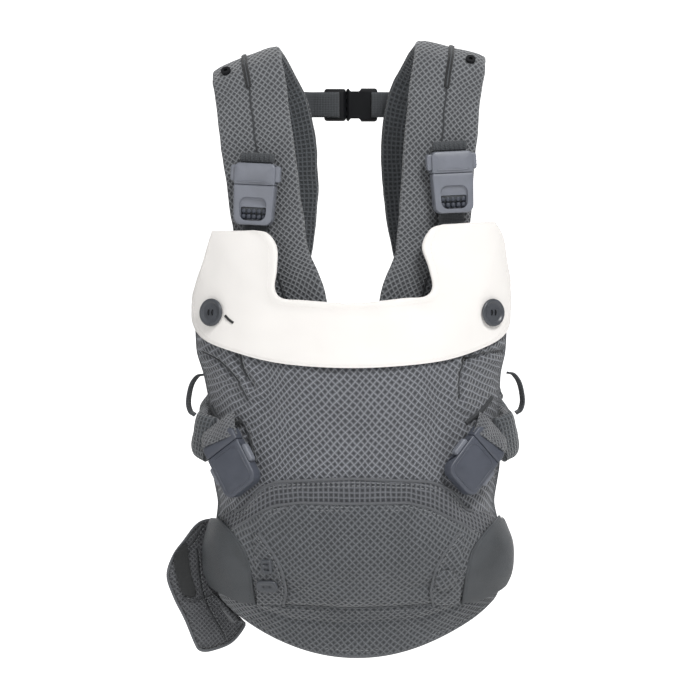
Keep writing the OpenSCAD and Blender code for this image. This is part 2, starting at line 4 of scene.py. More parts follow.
import bmesh
import bpy
import numpy as np
from mathutils import Matrix, Vector, noise


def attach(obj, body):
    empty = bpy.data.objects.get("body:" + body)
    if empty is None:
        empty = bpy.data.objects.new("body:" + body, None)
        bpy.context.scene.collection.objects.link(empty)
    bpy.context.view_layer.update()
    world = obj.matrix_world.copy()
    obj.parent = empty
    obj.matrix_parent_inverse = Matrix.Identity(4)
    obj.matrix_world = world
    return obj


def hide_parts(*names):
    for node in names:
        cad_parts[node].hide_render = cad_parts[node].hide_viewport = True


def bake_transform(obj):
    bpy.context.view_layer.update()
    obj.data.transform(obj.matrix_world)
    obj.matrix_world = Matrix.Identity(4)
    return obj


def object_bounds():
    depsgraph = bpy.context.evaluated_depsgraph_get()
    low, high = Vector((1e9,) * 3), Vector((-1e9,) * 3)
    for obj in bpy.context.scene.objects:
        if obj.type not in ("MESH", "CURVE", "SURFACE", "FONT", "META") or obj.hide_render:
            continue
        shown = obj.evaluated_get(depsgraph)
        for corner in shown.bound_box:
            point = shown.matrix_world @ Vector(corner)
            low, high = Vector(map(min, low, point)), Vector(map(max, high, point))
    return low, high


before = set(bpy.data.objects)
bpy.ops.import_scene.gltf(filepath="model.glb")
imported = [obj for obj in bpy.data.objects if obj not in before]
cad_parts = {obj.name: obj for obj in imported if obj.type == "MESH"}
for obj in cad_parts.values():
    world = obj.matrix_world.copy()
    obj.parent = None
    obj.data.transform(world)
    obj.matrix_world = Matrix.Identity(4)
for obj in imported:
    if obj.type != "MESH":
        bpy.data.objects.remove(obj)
CAD_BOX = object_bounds()

MM = 0.001
SIDES = {"left": -1, "right": 1}


# ---- Camera, light and floor ---------------------------------------------------------------
def make_stage():
    """A long lens looking straight along +Y, soft light from the front and above, and a pale floor."""
    low, high = (Vector(v) for v in CAD_BOX)
    distance, front = 8.0, low.y + 0.025
    camera = bpy.data.objects.new("camera", bpy.data.cameras.new("camera"))
    bpy.context.scene.collection.objects.link(camera)
    camera.location = (-0.003, front - distance, (low.z + high.z) / 2 - 0.0015)
    camera.rotation_euler = (math.radians(90), 0, 0)
    camera.data.lens = camera.data.sensor_width * distance / 0.7
    camera.data.clip_end = 50
    bpy.context.scene.camera = camera

    world = bpy.data.worlds.new("studio")
    bpy.context.scene.world = world
    world.use_nodes = True
    world.node_tree.nodes["Background"].inputs["Color"].default_value = (1, 1, 1, 1)
    world.node_tree.nodes["Background"].inputs["Strength"].default_value = 0.4

    centre = Vector((0, 0, (low.z + high.z) / 2))
    for name, place, size, power in (
        ("key", (1.3, -2.7, 2.9), 1.1, 108),
        ("fill", (-2.3, -3.2, 1.2), 2.0, 24),
        ("rim", (0.5, 2.2, 2.6), 1.6, 30),
    ):
        lamp = bpy.data.objects.new(name, bpy.data.lights.new(name, "AREA"))
        bpy.context.scene.collection.objects.link(lamp)
        lamp.data.size = size
        lamp.data.energy = power
        lamp.location = place
        lamp.rotation_euler = (centre - lamp.location).to_track_quat("-Z", "Y").to_euler()

    floor = new_object("floor", *disc_mesh(2.4, 96, low.z - 0.2))
    floor.data.materials.append(plain("floor_paint", (0.9, 0.9, 0.89), 0.8))
    far, half, bottom, top = 16, 20, -8, 20
    corners = [(-half, far, bottom), (half, far, bottom), (half, far, top), (-half, far, top)]
    wall = new_object("backdrop", corners, [[0, 1, 2, 3]])
    glow = Nodes("backdrop_white", (1, 1, 1), 1.0)
    glow.shader.inputs["Emission Color"].default_value = (1, 1, 1, 1)
    glow.shader.inputs["Emission Strength"].default_value = 1.0
    wall.data.materials.append(glow.material)
    bpy.context.scene.view_settings.view_transform = "Standard"


def disc_mesh(radius, count, z):
    ring = [(radius * math.cos(a), radius * math.sin(a), z)
            for a in (2 * math.pi * k / count for k in range(count))]
    return ring, [list(range(count))]


# ---- Mesh helpers --------------------------------------------------------------------------
def new_object(name, points, faces, uvs=None, smooth=True):
    mesh = bpy.data.meshes.new(name)
    mesh.from_pydata([tuple(p) for p in points], [], [list(map(int, f)) for f in faces])
    mesh.update()
    if smooth:
        mesh.polygons.foreach_set("use_smooth", [True] * len(mesh.polygons))
    if uvs is not None:
        layer = mesh.uv_layers.new(name="weave")
        corner = np.array([loop.vertex_index for loop in mesh.loops])
        layer.data.foreach_set("uv", np.asarray(uvs, np.float32)[corner].ravel())
    obj = bpy.data.objects.new(name, mesh)
    bpy.context.scene.collection.objects.link(obj)
    return obj


def piece(obj, material, body, stands_for=()):
    """Gives a piece its materials and body, and hides the CAD nodes that it stands for."""
    for m in material if isinstance(material, (list, tuple)) else [material]:
        obj.data.materials.append(m)
    if body:
        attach(obj, body)
    if stands_for:
        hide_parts(*stands_for)
    return obj


def grid_faces(rows, cols, start=0, flip=False):
    r, c = np.meshgrid(np.arange(rows - 1), np.arange(cols - 1), indexing="ij")
    i = (r * cols + c).ravel() + start
    quads = np.stack([i, i + 1, i + cols + 1, i + cols], 1)
    return (quads[:, ::-1] if flip else quads).tolist()


def rim_loop(rows, cols):
    return (list(range(cols)) + [r * cols + cols - 1 for r in range(1, rows)]
            + [(rows - 1) * cols + c for c in range(cols - 2, -1, -1)]
            + [r * cols for r in range(rows - 2, 0, -1)])


def run_lengths(points):
    """Lengths along the columns and rows of a grid of points, as UVs in metres."""
    across = np.linalg.norm(np.diff(points, axis=1), axis=2)
    up = np.linalg.norm(np.diff(points, axis=0), axis=2)
    x = np.concatenate([np.zeros((points.shape[0], 1)), np.cumsum(across, 1)], 1)
    x -= x[:, x.shape[1] // 2][:, None]
    y = np.concatenate([np.zeros((1, points.shape[1])), np.cumsum(up, 0)], 0)
    return np.stack([x, y], 2)


def closed_sheet(name, front, back):
    """A closed mesh between two grids of points in millimetres, with UVs in metres."""
    rows, cols, _ = front.shape
    n = rows * cols
    points = np.concatenate([front.reshape(-1, 3), back.reshape(-1, 3)]) * MM
    faces = grid_faces(rows, cols) + grid_faces(rows, cols, n, flip=True)
    loop = rim_loop(rows, cols)
    faces += [[a, n + a, n + b, b] for a, b in zip(loop, loop[1:] + loop[:1])]
    uv = run_lengths(front * MM).reshape(-1, 2)
    obj = new_object(name, points, faces, np.concatenate([uv, uv]))
    return obj


def smooth_curve(points, count, closed=False):
    """A Catmull-Rom curve through the points, evenly spaced."""
    p = np.asarray(points, float)
    n = len(p)
    if closed:
        ext = np.concatenate([p[-1:], p, p[:2]])
        spans = n
    else:
        ext = np.concatenate([2 * p[:1] - p[1:2], p, 2 * p[-1:] - p[-2:-1]])
        spans = n - 1
    t = np.linspace(0, spans, spans * 24 + 1)
    i = np.minimum(t.astype(int), spans - 1)
    f = (t - i)[:, None]
    a, b, c, d = ext[i], ext[i + 1], ext[i + 2], ext[i + 3]
    fine = 0.5 * (2 * b + (c - a) * f + (2 * a - 5 * b + 4 * c - d) * f ** 2
                  + (3 * b - a - 3 * c + d) * f ** 3)
    run = np.concatenate([[0], np.cumsum(np.linalg.norm(np.diff(fine[:, :3], axis=0), axis=1))])
    at = np.linspace(0, run[-1], count)
    return np.stack([np.interp(at, run, fine[:, k]) for k in range(fine.shape[1])], 1)


def unit(v):
    return v / np.maximum(np.linalg.norm(v, axis=-1, keepdims=True), 1e-9)


def smoothstep(t):
    t = np.clip(t, 0, 1)
    return t * t * (3 - 2 * t)


def wrinkle(points, size, amount, seed=0.0):
    """Soft noise for cloth, in millimetres, over points in millimetres."""
    flat = np.asarray(points).reshape(-1, 3)
    out = np.array([noise.noise(Vector((p[0] / size, p[1] / size + seed, p[2] / size))) for p in flat])
    return (out * amount).reshape(np.asarray(points).shape[:-1])


def tube(name, path, radius, sides=8, flat=1.0, up=None, closed=False):
    """A smooth tube along a path in millimetres; flat squeezes it along the direction up."""
    path = np.asarray(path, float)
    ahead = np.roll(path, -1, 0) if closed else np.concatenate([path[1:], path[-1:]])
    behind = np.roll(path, 1, 0) if closed else np.concatenate([path[:1], path[:-1]])
    t = unit(ahead - behind)
    up = np.broadcast_to(np.array([0, -1, 0.0]) if up is None else np.asarray(up, float), t.shape)
    w = unit(np.cross(t, up))
    n = np.cross(w, t)
    a = 2 * math.pi * np.arange(sides) / sides
    ring = (np.cos(a)[None, :, None] * w[:, None] + flat * np.sin(a)[None, :, None] * n[:, None]) * radius
    points = (path[:, None] + ring).reshape(-1, 3) * MM
    count = len(path)
    faces = []
    for i in range(count if closed else count - 1):
        j = (i + 1) % count
        for k in range(sides):
            m = (k + 1) % sides
            faces.append([i * sides + k, i * sides + m, j * sides + m, j * sides + k])
    if not closed:
        faces += [list(range(sides))[::-1], [(count - 1) * sides + k for k in range(sides)]]
    run = np.concatenate([[0], np.cumsum(np.linalg.norm(np.diff(path, axis=0), axis=1))]) * MM
    uv = np.stack([np.tile(a * radius * MM, count), np.repeat(run, sides)], 1)
    return new_object(name, points, faces, uv)


def stitches(name, path, normal, dash=3.2, pitch=5.0, width=0.55, lift=0.15):
    """A row of sewn stitches along a path that lies on cloth, in millimetres."""
    path = np.asarray(path, float)
    normal = np.broadcast_to(np.asarray(normal, float), path.shape)
    run = np.concatenate([[0], np.cumsum(np.linalg.norm(np.diff(path, axis=0), axis=1))])
    starts = np.arange(pitch / 2, run[-1] - dash, pitch)
    points, faces = [], []
    sides, rings = 6, ((0.0, 0.35), (0.15, 1.0), (0.85, 1.0), (1.0, 0.35))
    for s in starts:
        a, b = (np.array([np.interp(q, run, path[:, k]) for k in range(3)]) for q in (s, s + dash))
        n = unit(np.array([np.interp(s, run, normal[:, k]) for k in range(3)]))
        t = unit(b - a)
        w = np.cross(n, t)
        base = len(points)
        for f, size in rings:
            for k in range(sides):
                g = 2 * math.pi * k / sides
                points.append(a + (b - a) * f + n * lift
                              + size * width * (math.cos(g) * w + 0.8 * math.sin(g) * n))
        for r in range(len(rings) - 1):
            for k in range(sides):
                m = (k + 1) % sides
                faces.append([base + r * sides + k, base + r * sides + m,
                              base + (r + 1) * sides + m, base + (r + 1) * sides + k])
        faces.append([base + k for k in range(sides)][::-1])
        faces.append([base + (len(rings) - 1) * sides + k for k in range(sides)])
    return new_object(name, np.array(points) * MM, faces)


# ---- Materials -----------------------------------------------------------------------------
class Nodes:
    """A short way to write a node tree."""

    def __init__(self, name, color, roughness, **constants):
        self.material = bpy.data.materials.new(name)
        self.material.use_nodes = True
        self.tree = self.material.node_tree
        self.shader = self.tree.nodes["Principled BSDF"]
        self.shader.inputs["Base Color"].default_value = (*color, 1)
        self.shader.inputs["Roughness"].default_value = roughness
        for key, value in constants.items():
            self.shader.inputs[key.replace("_", " ")].default_value = value
        self.material.diffuse_color = (*color, 1)

    def add(self, kind, inputs=(), **settings):
        node = self.tree.nodes.new(kind)
        for key, value in settings.items():
            setattr(node, key, value)
        for key, value in dict(inputs).items():
            if hasattr(value, "is_output"):
                self.tree.links.new(value, node.inputs[key])
            else:
                node.inputs[key].default_value = value
        return node

    def math(self, op, *args, clamp=False):
        node = self.add("ShaderNodeMath", operation=op, use_clamp=clamp)
        for k, value in enumerate(args):
            if hasattr(value, "is_output"):
                self.tree.links.new(value, node.inputs[k])
            else:
                node.inputs[k].default_value = value
        return node.outputs[0]

    def ramp(self, value, low, high, to_low=0.0, to_high=1.0):
        node = self.add("ShaderNodeMapRange", {"Value": value, "From Min": low, "From Max": high,
                                               "To Min": to_low, "To Max": to_high},
                        interpolation_type="SMOOTHSTEP")
        return node.outputs[0]

    def mix(self, factor, a, b):
        node = self.add("ShaderNodeMix", data_type="RGBA")
        for socket, value in ((node.inputs[0], factor), (node.inputs[6], a), (node.inputs[7], b)):
            if hasattr(value, "is_output"):
                self.tree.links.new(value, socket)
            else:
                socket.default_value = (*value, 1) if isinstance(value, tuple) else value
        return node.outputs[2]

    def noise(self, scale, detail=2.0, vector=None):
        inputs = {"Scale": scale, "Detail": detail}
        if vector is None:
            vector = self.add("ShaderNodeTexCoord").outputs["Object"]
        inputs["Vector"] = vector
        return self.add("ShaderNodeTexNoise", inputs).outputs["Fac"]

    def uv(self):
        split = self.add("ShaderNodeSeparateXYZ")
        self.tree.links.new(self.add("ShaderNodeTexCoord").outputs["UV"], split.inputs[0])
        return split.outputs[0], split.outputs[1]

    def color(self, value):
        self.tree.links.new(value, self.shader.inputs["Base Color"])

    def roughness(self, value):
        self.tree.links.new(value, self.shader.inputs["Roughness"])

    def bump(self, height, distance, strength=1.0):
        node = self.add("ShaderNodeBump", {"Height": height, "Distance": distance, "Strength": strength})
        self.tree.links.new(node.outputs[0], self.shader.inputs["Normal"])


def plain(name, color, roughness):
    m = Nodes(name, color, roughness)
    return m.material


def mesh_cloth(name, thread, hole, pitch=(7.5, 8.0), square=False, open_at=(0.12, 0.36), depth=0.7,
               tint=0.16, line=2.3):
    """Woven mesh: crossing raised threads round small cells, from UVs in metres; the threads carry a painted
    highlight and the cells painted shade.
    """
    m = Nodes(name, thread, 0.86, Sheen_Weight=0.25, Sheen_Roughness=0.5)
    u, v = m.uv()
    p = m.math("MULTIPLY", u, 1 / (pitch[0] * MM))
    q = m.math("MULTIPLY", v, 1 / (pitch[1] * MM))
    drift = m.math("MULTIPLY", m.noise(55, 2.0), 0.55)
    drift_b = m.math("MULTIPLY", m.noise(41, 2.0), 0.55)
    p = m.math("ADD", p, drift)
    q = m.math("ADD", q, drift_b)
    a = p if square else m.math("ADD", p, q)
    b = q if square else m.math("SUBTRACT", p, q)
    da = m.math("PINGPONG", a, 0.5)
    db = m.math("PINGPONG", b, 0.5)
    near = m.math("MINIMUM", da, db)
    cell = m.ramp(near, *open_at)
    ridge = m.ramp(near, 0.0, 0.16, 1.0, 0.0)
    highlight_lines = m.ramp(near, 0.02, 0.095, 1.0, 0.0)
    fibre = m.noise(2600, 3.0)
    patch = m.noise(28, 2.0)
    shade = m.math("ADD", m.math("MULTIPLY", m.ramp(fibre, 0.3, 0.7), 0.35),
                   m.math("MULTIPLY", m.ramp(patch, 0.3, 0.7), 0.65))
    dark = tuple(c * (1 - tint) for c in thread)
    light = tuple(min(1.0, c * (1 + tint)) for c in thread)
    ground = m.mix(shade, dark, light)
    # painted highlight: the thin lines along the threads are lightened by the factor line
    thread_highlight = tuple(min(1.0, c * line) for c in thread)
    # painted shade: the open cells take the hole colour
    m.color(m.mix(m.math("MULTIPLY", highlight_lines, 0.85), m.mix(cell, ground, hole), thread_highlight))
    height = m.math("ADD", m.math("MULTIPLY", ridge, 0.6), m.math("MULTIPLY", fibre, 0.25))
    m.bump(m.math("SUBTRACT", height, m.math("MULTIPLY", cell, 1.0)), depth * MM)
    return m.material


def rib_cloth(name, color, pitch=1.6, depth=0.25, along=0):
    """Webbing: fine ribs across the band and threads along it, from UVs in metres."""
    m = Nodes(name, color, 0.75, Sheen_Weight=0.15)
    u, v = m.uv()
    run, side = (v, u) if along == 0 else (u, v)
    rib = m.math("PINGPONG", m.math("MULTIPLY", run, 1 / (pitch * MM)), 0.5)
    line = m.math("PINGPONG", m.math("MULTIPLY", side, 1 / (pitch * 1.1 * MM)), 0.5)
    weave = m.math("ADD", m.ramp(rib, 0.05, 0.4), m.math("MULTIPLY", m.ramp(line, 0.1, 0.4), 0.6))
    fibre = m.noise(3000, 2.0)
    shade = m.math("MULTIPLY", m.math("ADD", weave, fibre), 0.45, clamp=True)
    m.color(m.mix(shade, tuple(c * 0.6 for c in color), tuple(min(1, c * 1.5) for c in color)))
    m.bump(weave, depth * MM)
    return m.material


def cotton(name, color):
    m = Nodes(name, color, 0.9, Sheen_Weight=0.2)
    weave = m.noise(1800, 3.0)
    soft = m.noise(14, 2.0)
    shade = m.math("ADD", m.math("MULTIPLY", weave, 0.25), m.math("MULTIPLY", soft, 0.75))
    m.color(m.mix(m.ramp(shade, 0.3, 0.7), tuple(c * 0.965 for c in color), color))
    m.bump(weave, 0.12 * MM)
    return m.material


def leather(name, color):
    m = Nodes(name, color, 0.5, Specular_IOR_Level=0.4)
    cells = m.add("ShaderNodeTexVoronoi", {"Scale": 1300.0,
                                           "Vector": m.add("ShaderNodeTexCoord").outputs["Object"]},
                  feature="DISTANCE_TO_EDGE").outputs["Distance"]
    grain = m.ramp(cells, 0.0, 0.12)
    soft = m.noise(40, 3.0)
    m.color(m.mix(m.ramp(soft, 0.3, 0.7), tuple(c * 0.85 for c in color), tuple(c * 1.12 for c in color)))
    m.roughness(m.ramp(soft, 0.3, 0.7, 0.42, 0.55))
    m.bump(m.math("ADD", grain, m.math("MULTIPLY", soft, 0.3)), 0.08 * MM)
    return m.material


def plastic(name, color, roughness=0.38, grain=0.05, shine=0.5):
    m = Nodes(name, color, roughness, Specular_IOR_Level=shine)
    fine = m.noise(2200, 2.0)
    soft = m.noise(60, 2.0)
    darker, lighter = (tuple(min(1, c * share) for c in color) for share in (0.93, 1.06))
    m.color(m.mix(m.ramp(soft, 0.3, 0.7), darker, lighter))
    m.roughness(m.ramp(m.math("ADD", fine, soft), 0.6, 1.4, roughness - 0.05, roughness + 0.08))
    m.bump(fine, grain * MM)
    return m.material


def metal(name, color):
    m = Nodes(name, color, 0.3, Metallic=1.0)
    fine = m.noise(900, 3.0)
    m.roughness(m.ramp(fine, 0.3, 0.7, 0.22, 0.4))
    m.bump(fine, 0.02 * MM)
    return m.material


GREY = (0.122, 0.127, 0.140)
# The second colour of each mesh cloth is painted shade for its open cells; line sets the painted highlight on
# its threads.
GREY_CELL_SHADE = (0.048, 0.051, 0.058)
PANEL_CLOTH = mesh_cloth("panel_cloth", GREY, GREY_CELL_SHADE)
STRAP_CLOTH = mesh_cloth("strap_cloth", (0.118, 0.123, 0.131), (0.040, 0.043, 0.048), (6.1, 6.4), line=2.1)
SEAT_CLOTH = mesh_cloth("seat_cloth", (0.082, 0.087, 0.095), (0.033, 0.036, 0.041), (7.1, 7.2), line=1.9)
BAND_CLOTH = mesh_cloth("band_cloth", (0.086, 0.090, 0.100), (0.030, 0.032, 0.037), (5.2, 5.2), True,
                        line=2.0)
LINING = mesh_cloth("lining_mesh", (0.058, 0.064, 0.071), (0.024, 0.027, 0.031), (4.4, 4.4), True, line=1.8)
SLEEVE_CLOTH = mesh_cloth("sleeve_cloth", (0.105, 0.109, 0.118), (0.050, 0.053, 0.060), (5.2, 5.4), line=1.6)
WEBBING = rib_cloth("dark_webbing", (0.045, 0.049, 0.054))
BINDING = rib_cloth("edge_binding", (0.085, 0.089, 0.097), 1.1, 0.12)
TAPE = rib_cloth("black_tape", (0.011, 0.012, 0.013), 1.3, 0.2)
COTTON = cotton("bib_cotton", (0.84, 0.815, 0.79))
POUCH_CLOTH = mesh_cloth("pouch_cloth", (0.080, 0.083, 0.090), (0.034, 0.036, 0.041), (4.8, 5.0), line=1.6)
LEATHER = leather("smooth_patch", (0.060, 0.065, 0.071))
BUTTON = plastic("button_plastic", (0.060, 0.065, 0.075), 0.3)
BUCKLE = plastic("buckle_plastic", (0.165, 0.175, 0.205), 0.4)
DEEP_BUCKLE = plastic("side_buckle_plastic", (0.066, 0.073, 0.094), 0.38)
BUCKLE_DARK = plastic("buckle_recess", (0.045, 0.051, 0.068), 0.5)
BLACK = plastic("black_plastic", (0.008, 0.0085, 0.010), 0.42, shine=0.18)
STEEL = metal("magnet_steel", (0.60, 0.60, 0.62))
THREAD = rib_cloth("sewing_thread", (0.230, 0.238, 0.250), 0.6, 0.05)
# dark thread for stitches and seam lines; on the panel's seams, folds and slits its dark tubes are painted
# shade
DARK_THREAD_AND_SEAM_SHADE = rib_cloth("dark_thread_and_seam_shade", (0.026, 0.028, 0.031), 0.6, 0.05)
FOAM = cotton("foam_core", (0.62, 0.62, 0.60))


# ---- The panel's surface, the same as in part.scad but smoothed ------------------------------
PANEL = np.array([
    [-45, 100, -45, -10, 4], [-20, 114, -54, -12, 4], [0, 127, -64, -15, 5], [20, 138, -84, -19, 5],
    [45, 146, -99, -23, 5], [70, 147, -106, -25, 5], [95, 141, -109, -26, 4], [112, 138, -109, -27, 3],
    [150, 145, -106, -28, 2.5], [190, 143, -102, -30, 2], [217, 146, -99, -30, 1],
    [242, 149, -96, -30, -1], [262, 155, -93, -30, -2], [300, 157, -88, -29, -2],
    [340, 156, -84, -28, -1], [395, 150, -78, -26, 0]], float)
WRAP = math.radians(80)
FINE_Z = np.arange(-60, 411, 1.0)


def smoothed(column):
    """One column of PANEL at every millimetre of height, with its corners rounded off."""
    line = np.interp(FINE_Z, PANEL[:, 0], PANEL[:, column])
    weight = np.exp(-(np.arange(-16, 17) / 6.0) ** 2)
    return np.convolve(np.pad(line, 16, "edge"), weight / weight.sum(), "valid")


HALF_W, FRONT_Y, SIDE_Y, SWAY = (smoothed(k) for k in (1, 2, 3, 4))


def surface(u, z):
    w, front, side, sway = (np.interp(z, FINE_Z, v) for v in (HALF_W, FRONT_Y, SIDE_Y, SWAY))
    x = w * np.sin(WRAP * u) / math.sin(WRAP) + sway
    y = side - (side - front) * (np.cos(WRAP * u) - math.cos(WRAP)) / (1 - math.cos(WRAP))
    return np.stack([x, y, z], -1)


def panel_normal(u, z):
    across = surface(u + 0.01, z) - surface(u - 0.01, z)
    up = surface(u, z + 2) - surface(u, z - 2)
    return unit(np.cross(across, up))


def panel_point(u, z, d=0.0):
    u, z, d = np.broadcast_arrays(*(np.asarray(a, float) for a in (u, z, d)))
    return surface(u, z) + d[..., None] * panel_normal(u, z)


def u_of(x, z):
    w, sway = np.interp(z, FINE_Z, HALF_W), np.interp(z, FINE_Z, SWAY)
    ratio = np.clip((np.asarray(x, float) - sway) * math.sin(WRAP) / w, -math.sin(WRAP), math.sin(WRAP))
    return np.arcsin(ratio) / WRAP


def on_panel(xz, d=0.0):
    xz = np.asarray(xz, float)
    return panel_point(u_of(xz[..., 0], xz[..., 1]), xz[..., 1], d)


def on_panel_normal(xz):
    xz = np.asarray(xz, float)
    return panel_normal(u_of(xz[..., 0], xz[..., 1]), xz[..., 1])


def belt_low(u):
    return -45 + 62 * u * u


def belt_high(u):
    return belt_low(u) + 54


def panel_top(u):
    return 306 + 24 * smoothstep((np.abs(surface(u, np.full_like(u, 306.0))[..., 0]) - 68) / 26)


# Creases of the body panel: points (x, z), width and depth
CREASES = (
    ([(-118, 268), (-112, 245), (-101, 228)], 3.5, 3.2),
    ([(-152, 262), (-136, 254), (-114, 233)], 2.0, 2.0),
    ([(112, 255), (152, 264)], 3.0, 2.6),
    ([(121, 280), (108, 240), (107, 214)], 3.0, 2.6),
    ([(-106, 180), (-98, 136)], 2.2, 1.6),
    ([(112, 176), (101, 134)], 2.2, 1.4),
    ([(-60, 232), (-88, 205), (-104, 186)], 7.0, 1.3),
    ([(62, 236), (90, 212), (112, 196)], 7.0, 1.3),
    ([(-30, 246), (10, 232), (48, 243)], 12.0, 1.0),
)


def line_distance(x, z, points):
    best = np.full(np.shape(x), 1e9)
    for (ax, az), (bx, bz) in zip(points, points[1:]):
        dx, dz = bx - ax, bz - az
        f = np.clip(((x - ax) * dx + (z - az) * dz) / (dx * dx + dz * dz), 0, 1)
        best = np.minimum(best, np.hypot(x - ax - f * dx, z - az - f * dz))
    return best


def creased(x, z):
    total = np.zeros(np.shape(x))
    for points, width, depth in CREASES:
        r = line_distance(x, z, points)
        total += depth * (0.45 * np.exp(-((r - 2.2 * width) / (1.3 * width)) ** 2)
                          - np.exp(-(r / width) ** 2))
    return total


def edge_fall(s, t, share=0.03):
    """1 inside a grid and 0 at its rim, falling off as a quarter circle."""
    near = np.minimum((1 - np.abs(s)) / (2 * share), np.minimum(t, 1 - t) / share)
    k = 1 - np.clip(near, 0, 1)
    return np.sqrt(np.maximum(0, 1 - k * k))


def layer(name, at, outer, inner, cols, rows, relief=None, share=0.03):
    """A sewn layer of the panel between two distances, with rolled edges and soft wrinkles."""
    s, t = np.meshgrid(np.linspace(-1, 1, cols), np.linspace(0, 1, rows))
    u, z = at(s, t)
    outer = outer(s, t) if callable(outer) else outer
    x = surface(u, z)
    soft = wrinkle(x, 34, 0.9, len(name)) + wrinkle(x, 13, 0.3, 3 + len(name))
    lump = (soft + (relief(x[..., 0], z) if relief else 0)) * smoothstep(edge_fall(s, t, 3 * share))
    middle = (outer + inner) / 2
    front = panel_point(u, z, middle + (outer - middle) * edge_fall(s, t, share) + lump)
    back = panel_point(u, z, middle - (middle - inner) * edge_fall(s, t, share) + lump * 0.8)
    return closed_sheet(name, front, back)


def between(left, right, low, high):
    """A region between two side curves, tables of (z, x), and two heights."""
    lz, lx = np.array(left, float).T
    rz, rx = np.array(right, float).T

    def at(s, t):
        z = low + (high - low) * t
        x = np.interp(z, lz, lx) * (1 - s) / 2 + np.interp(z, rz, rx) * (1 + s) / 2
        return u_of(x, z), z
    return at


def build_panel():
    def whole(inset):
        def at(s, t):
            u = s * (1 - inset / 150)
            low = belt_high(u) + 0.5 + inset
            return u, low + (panel_top(u) - inset - low) * t
        return at
    cover = layer("panel_cover", whole(0), 0, -3, 201, 161, creased, 0.012)
    piece(cover, PANEL_CLOTH, "root", ["outer_panel"])
    lining = layer("panel_lining", whole(1), -9.6, -12, 121, 91, None, 0.012)
    piece(lining, LINING, "root", ["inner_liner"])
    pad = layer("head_pad", lambda s, t: (0.4 * s, 204 + 58 * t), -12.6, -22, 61, 41, None, 0.12)
    piece(pad, LINING, "root", ["head_support"])

    # Dark tubes along the cover's seams and folds are painted shade in their grooves; the thick ones at the
    # slits and the tuck are painted shadow in the gaps under the sleeve edges. Light stitches run beside each.
    shaded_seam_lines = {
        "left_dart": [(-152, 263), (-138, 256), (-122, 243), (-112, 229), (-104, 214)],
        "left_curve": [(-112, 196), (-104, 178), (-99, 156), (-97, 138)],
        "left_tuck": [(-113, 262), (-112, 250), (-107, 238)],
        "right_dart": [(152, 264), (132, 262), (114, 256)],
        "right_curve": [(121, 280), (112, 258), (107, 236), (107, 216)],
        "right_low": [(112, 182), (106, 164), (101, 138)],
        "left_slit": [(-142, 208), (-136, 197), (-125, 190), (-111, 193)],
        "right_slit": [(139, 217), (128, 204), (113, 191)],
    }
    for name, points in shaded_seam_lines.items():
        xz = smooth_curve(points, 70)
        d = creased(xz[:, 0], xz[:, 1]) + 0.7
        thick = 2.3 if "slit" in name else 1.5 if "tuck" in name else 0.75
        # dark tube: painted shade along the seam, fold or slit
        piece(tube(f"panel_{name}_seam", on_panel(xz, d), thick, 8), DARK_THREAD_AND_SEAM_SHADE, "root")
        row = xz + [2.6, 1.2]
        path = on_panel(row, creased(row[:, 0], row[:, 1]) + 0.35)
        row = stitches(f"panel_{name}_stitch", path, on_panel_normal(row), 2.6, 4.4, 0.38)
        piece(row, THREAD, "root")

    # a bound edge that closes the layers at the sides and along the neck
    t = np.linspace(0, 1, 90)
    for word, side in SIDES.items():
        u = np.full_like(t, side * 0.995)
        z = belt_high(u) + 1 + (panel_top(u) - 2 - belt_high(u)) * t
        path = panel_point(u, z, -5.6)
        out = panel_normal(u, z)
        binding = tube(f"side_binding_{word}", path, 6.6, 14, 0.3, np.cross(out, [0, 0, 1]))
        piece(binding, BINDING, "root")
        rows = on_panel(np.stack([path[:, 0] * 0 + surface(u * 0.965, z)[:, 0], z], 1), 0.3)
        piece(stitches(f"side_seam_{word}", rows[2:-2], panel_normal(u * 0.965, z)[2:-2]),
              THREAD, "root")
    u = np.linspace(-0.99, 0.99, 160)
    z = panel_top(u) - 0.5
    neck = tube("neck_binding", panel_point(u, z, -5.6), 6.4, 14, 0.34, [0, 0, 1])
    piece(neck, BINDING, "root")


SEAT_TOP = np.array([[-150, 100], [-110, 104], [-92, 126], [-75, 133], [0, 136], [75, 133], [96, 126],
                     [112, 104], [150, 100]], float)
SEAT_ARC = np.array([[-150, 60], [-119, 84], [-105, 93], [-90, 103], [-77, 109], [-52, 112], [0, 111],
                     [54, 112], [77, 106], [100, 94], [119, 82], [150, 62]], float)


def arc_height(table, x):
    line = np.interp(np.arange(-170, 171), table[:, 0], table[:, 1])
    weight = np.exp(-(np.arange(-12, 13) / 4.0) ** 2)
    return np.interp(x, np.arange(-170, 171), np.convolve(np.pad(line, 12, "edge"),
                                                          weight / weight.sum(), "valid"))


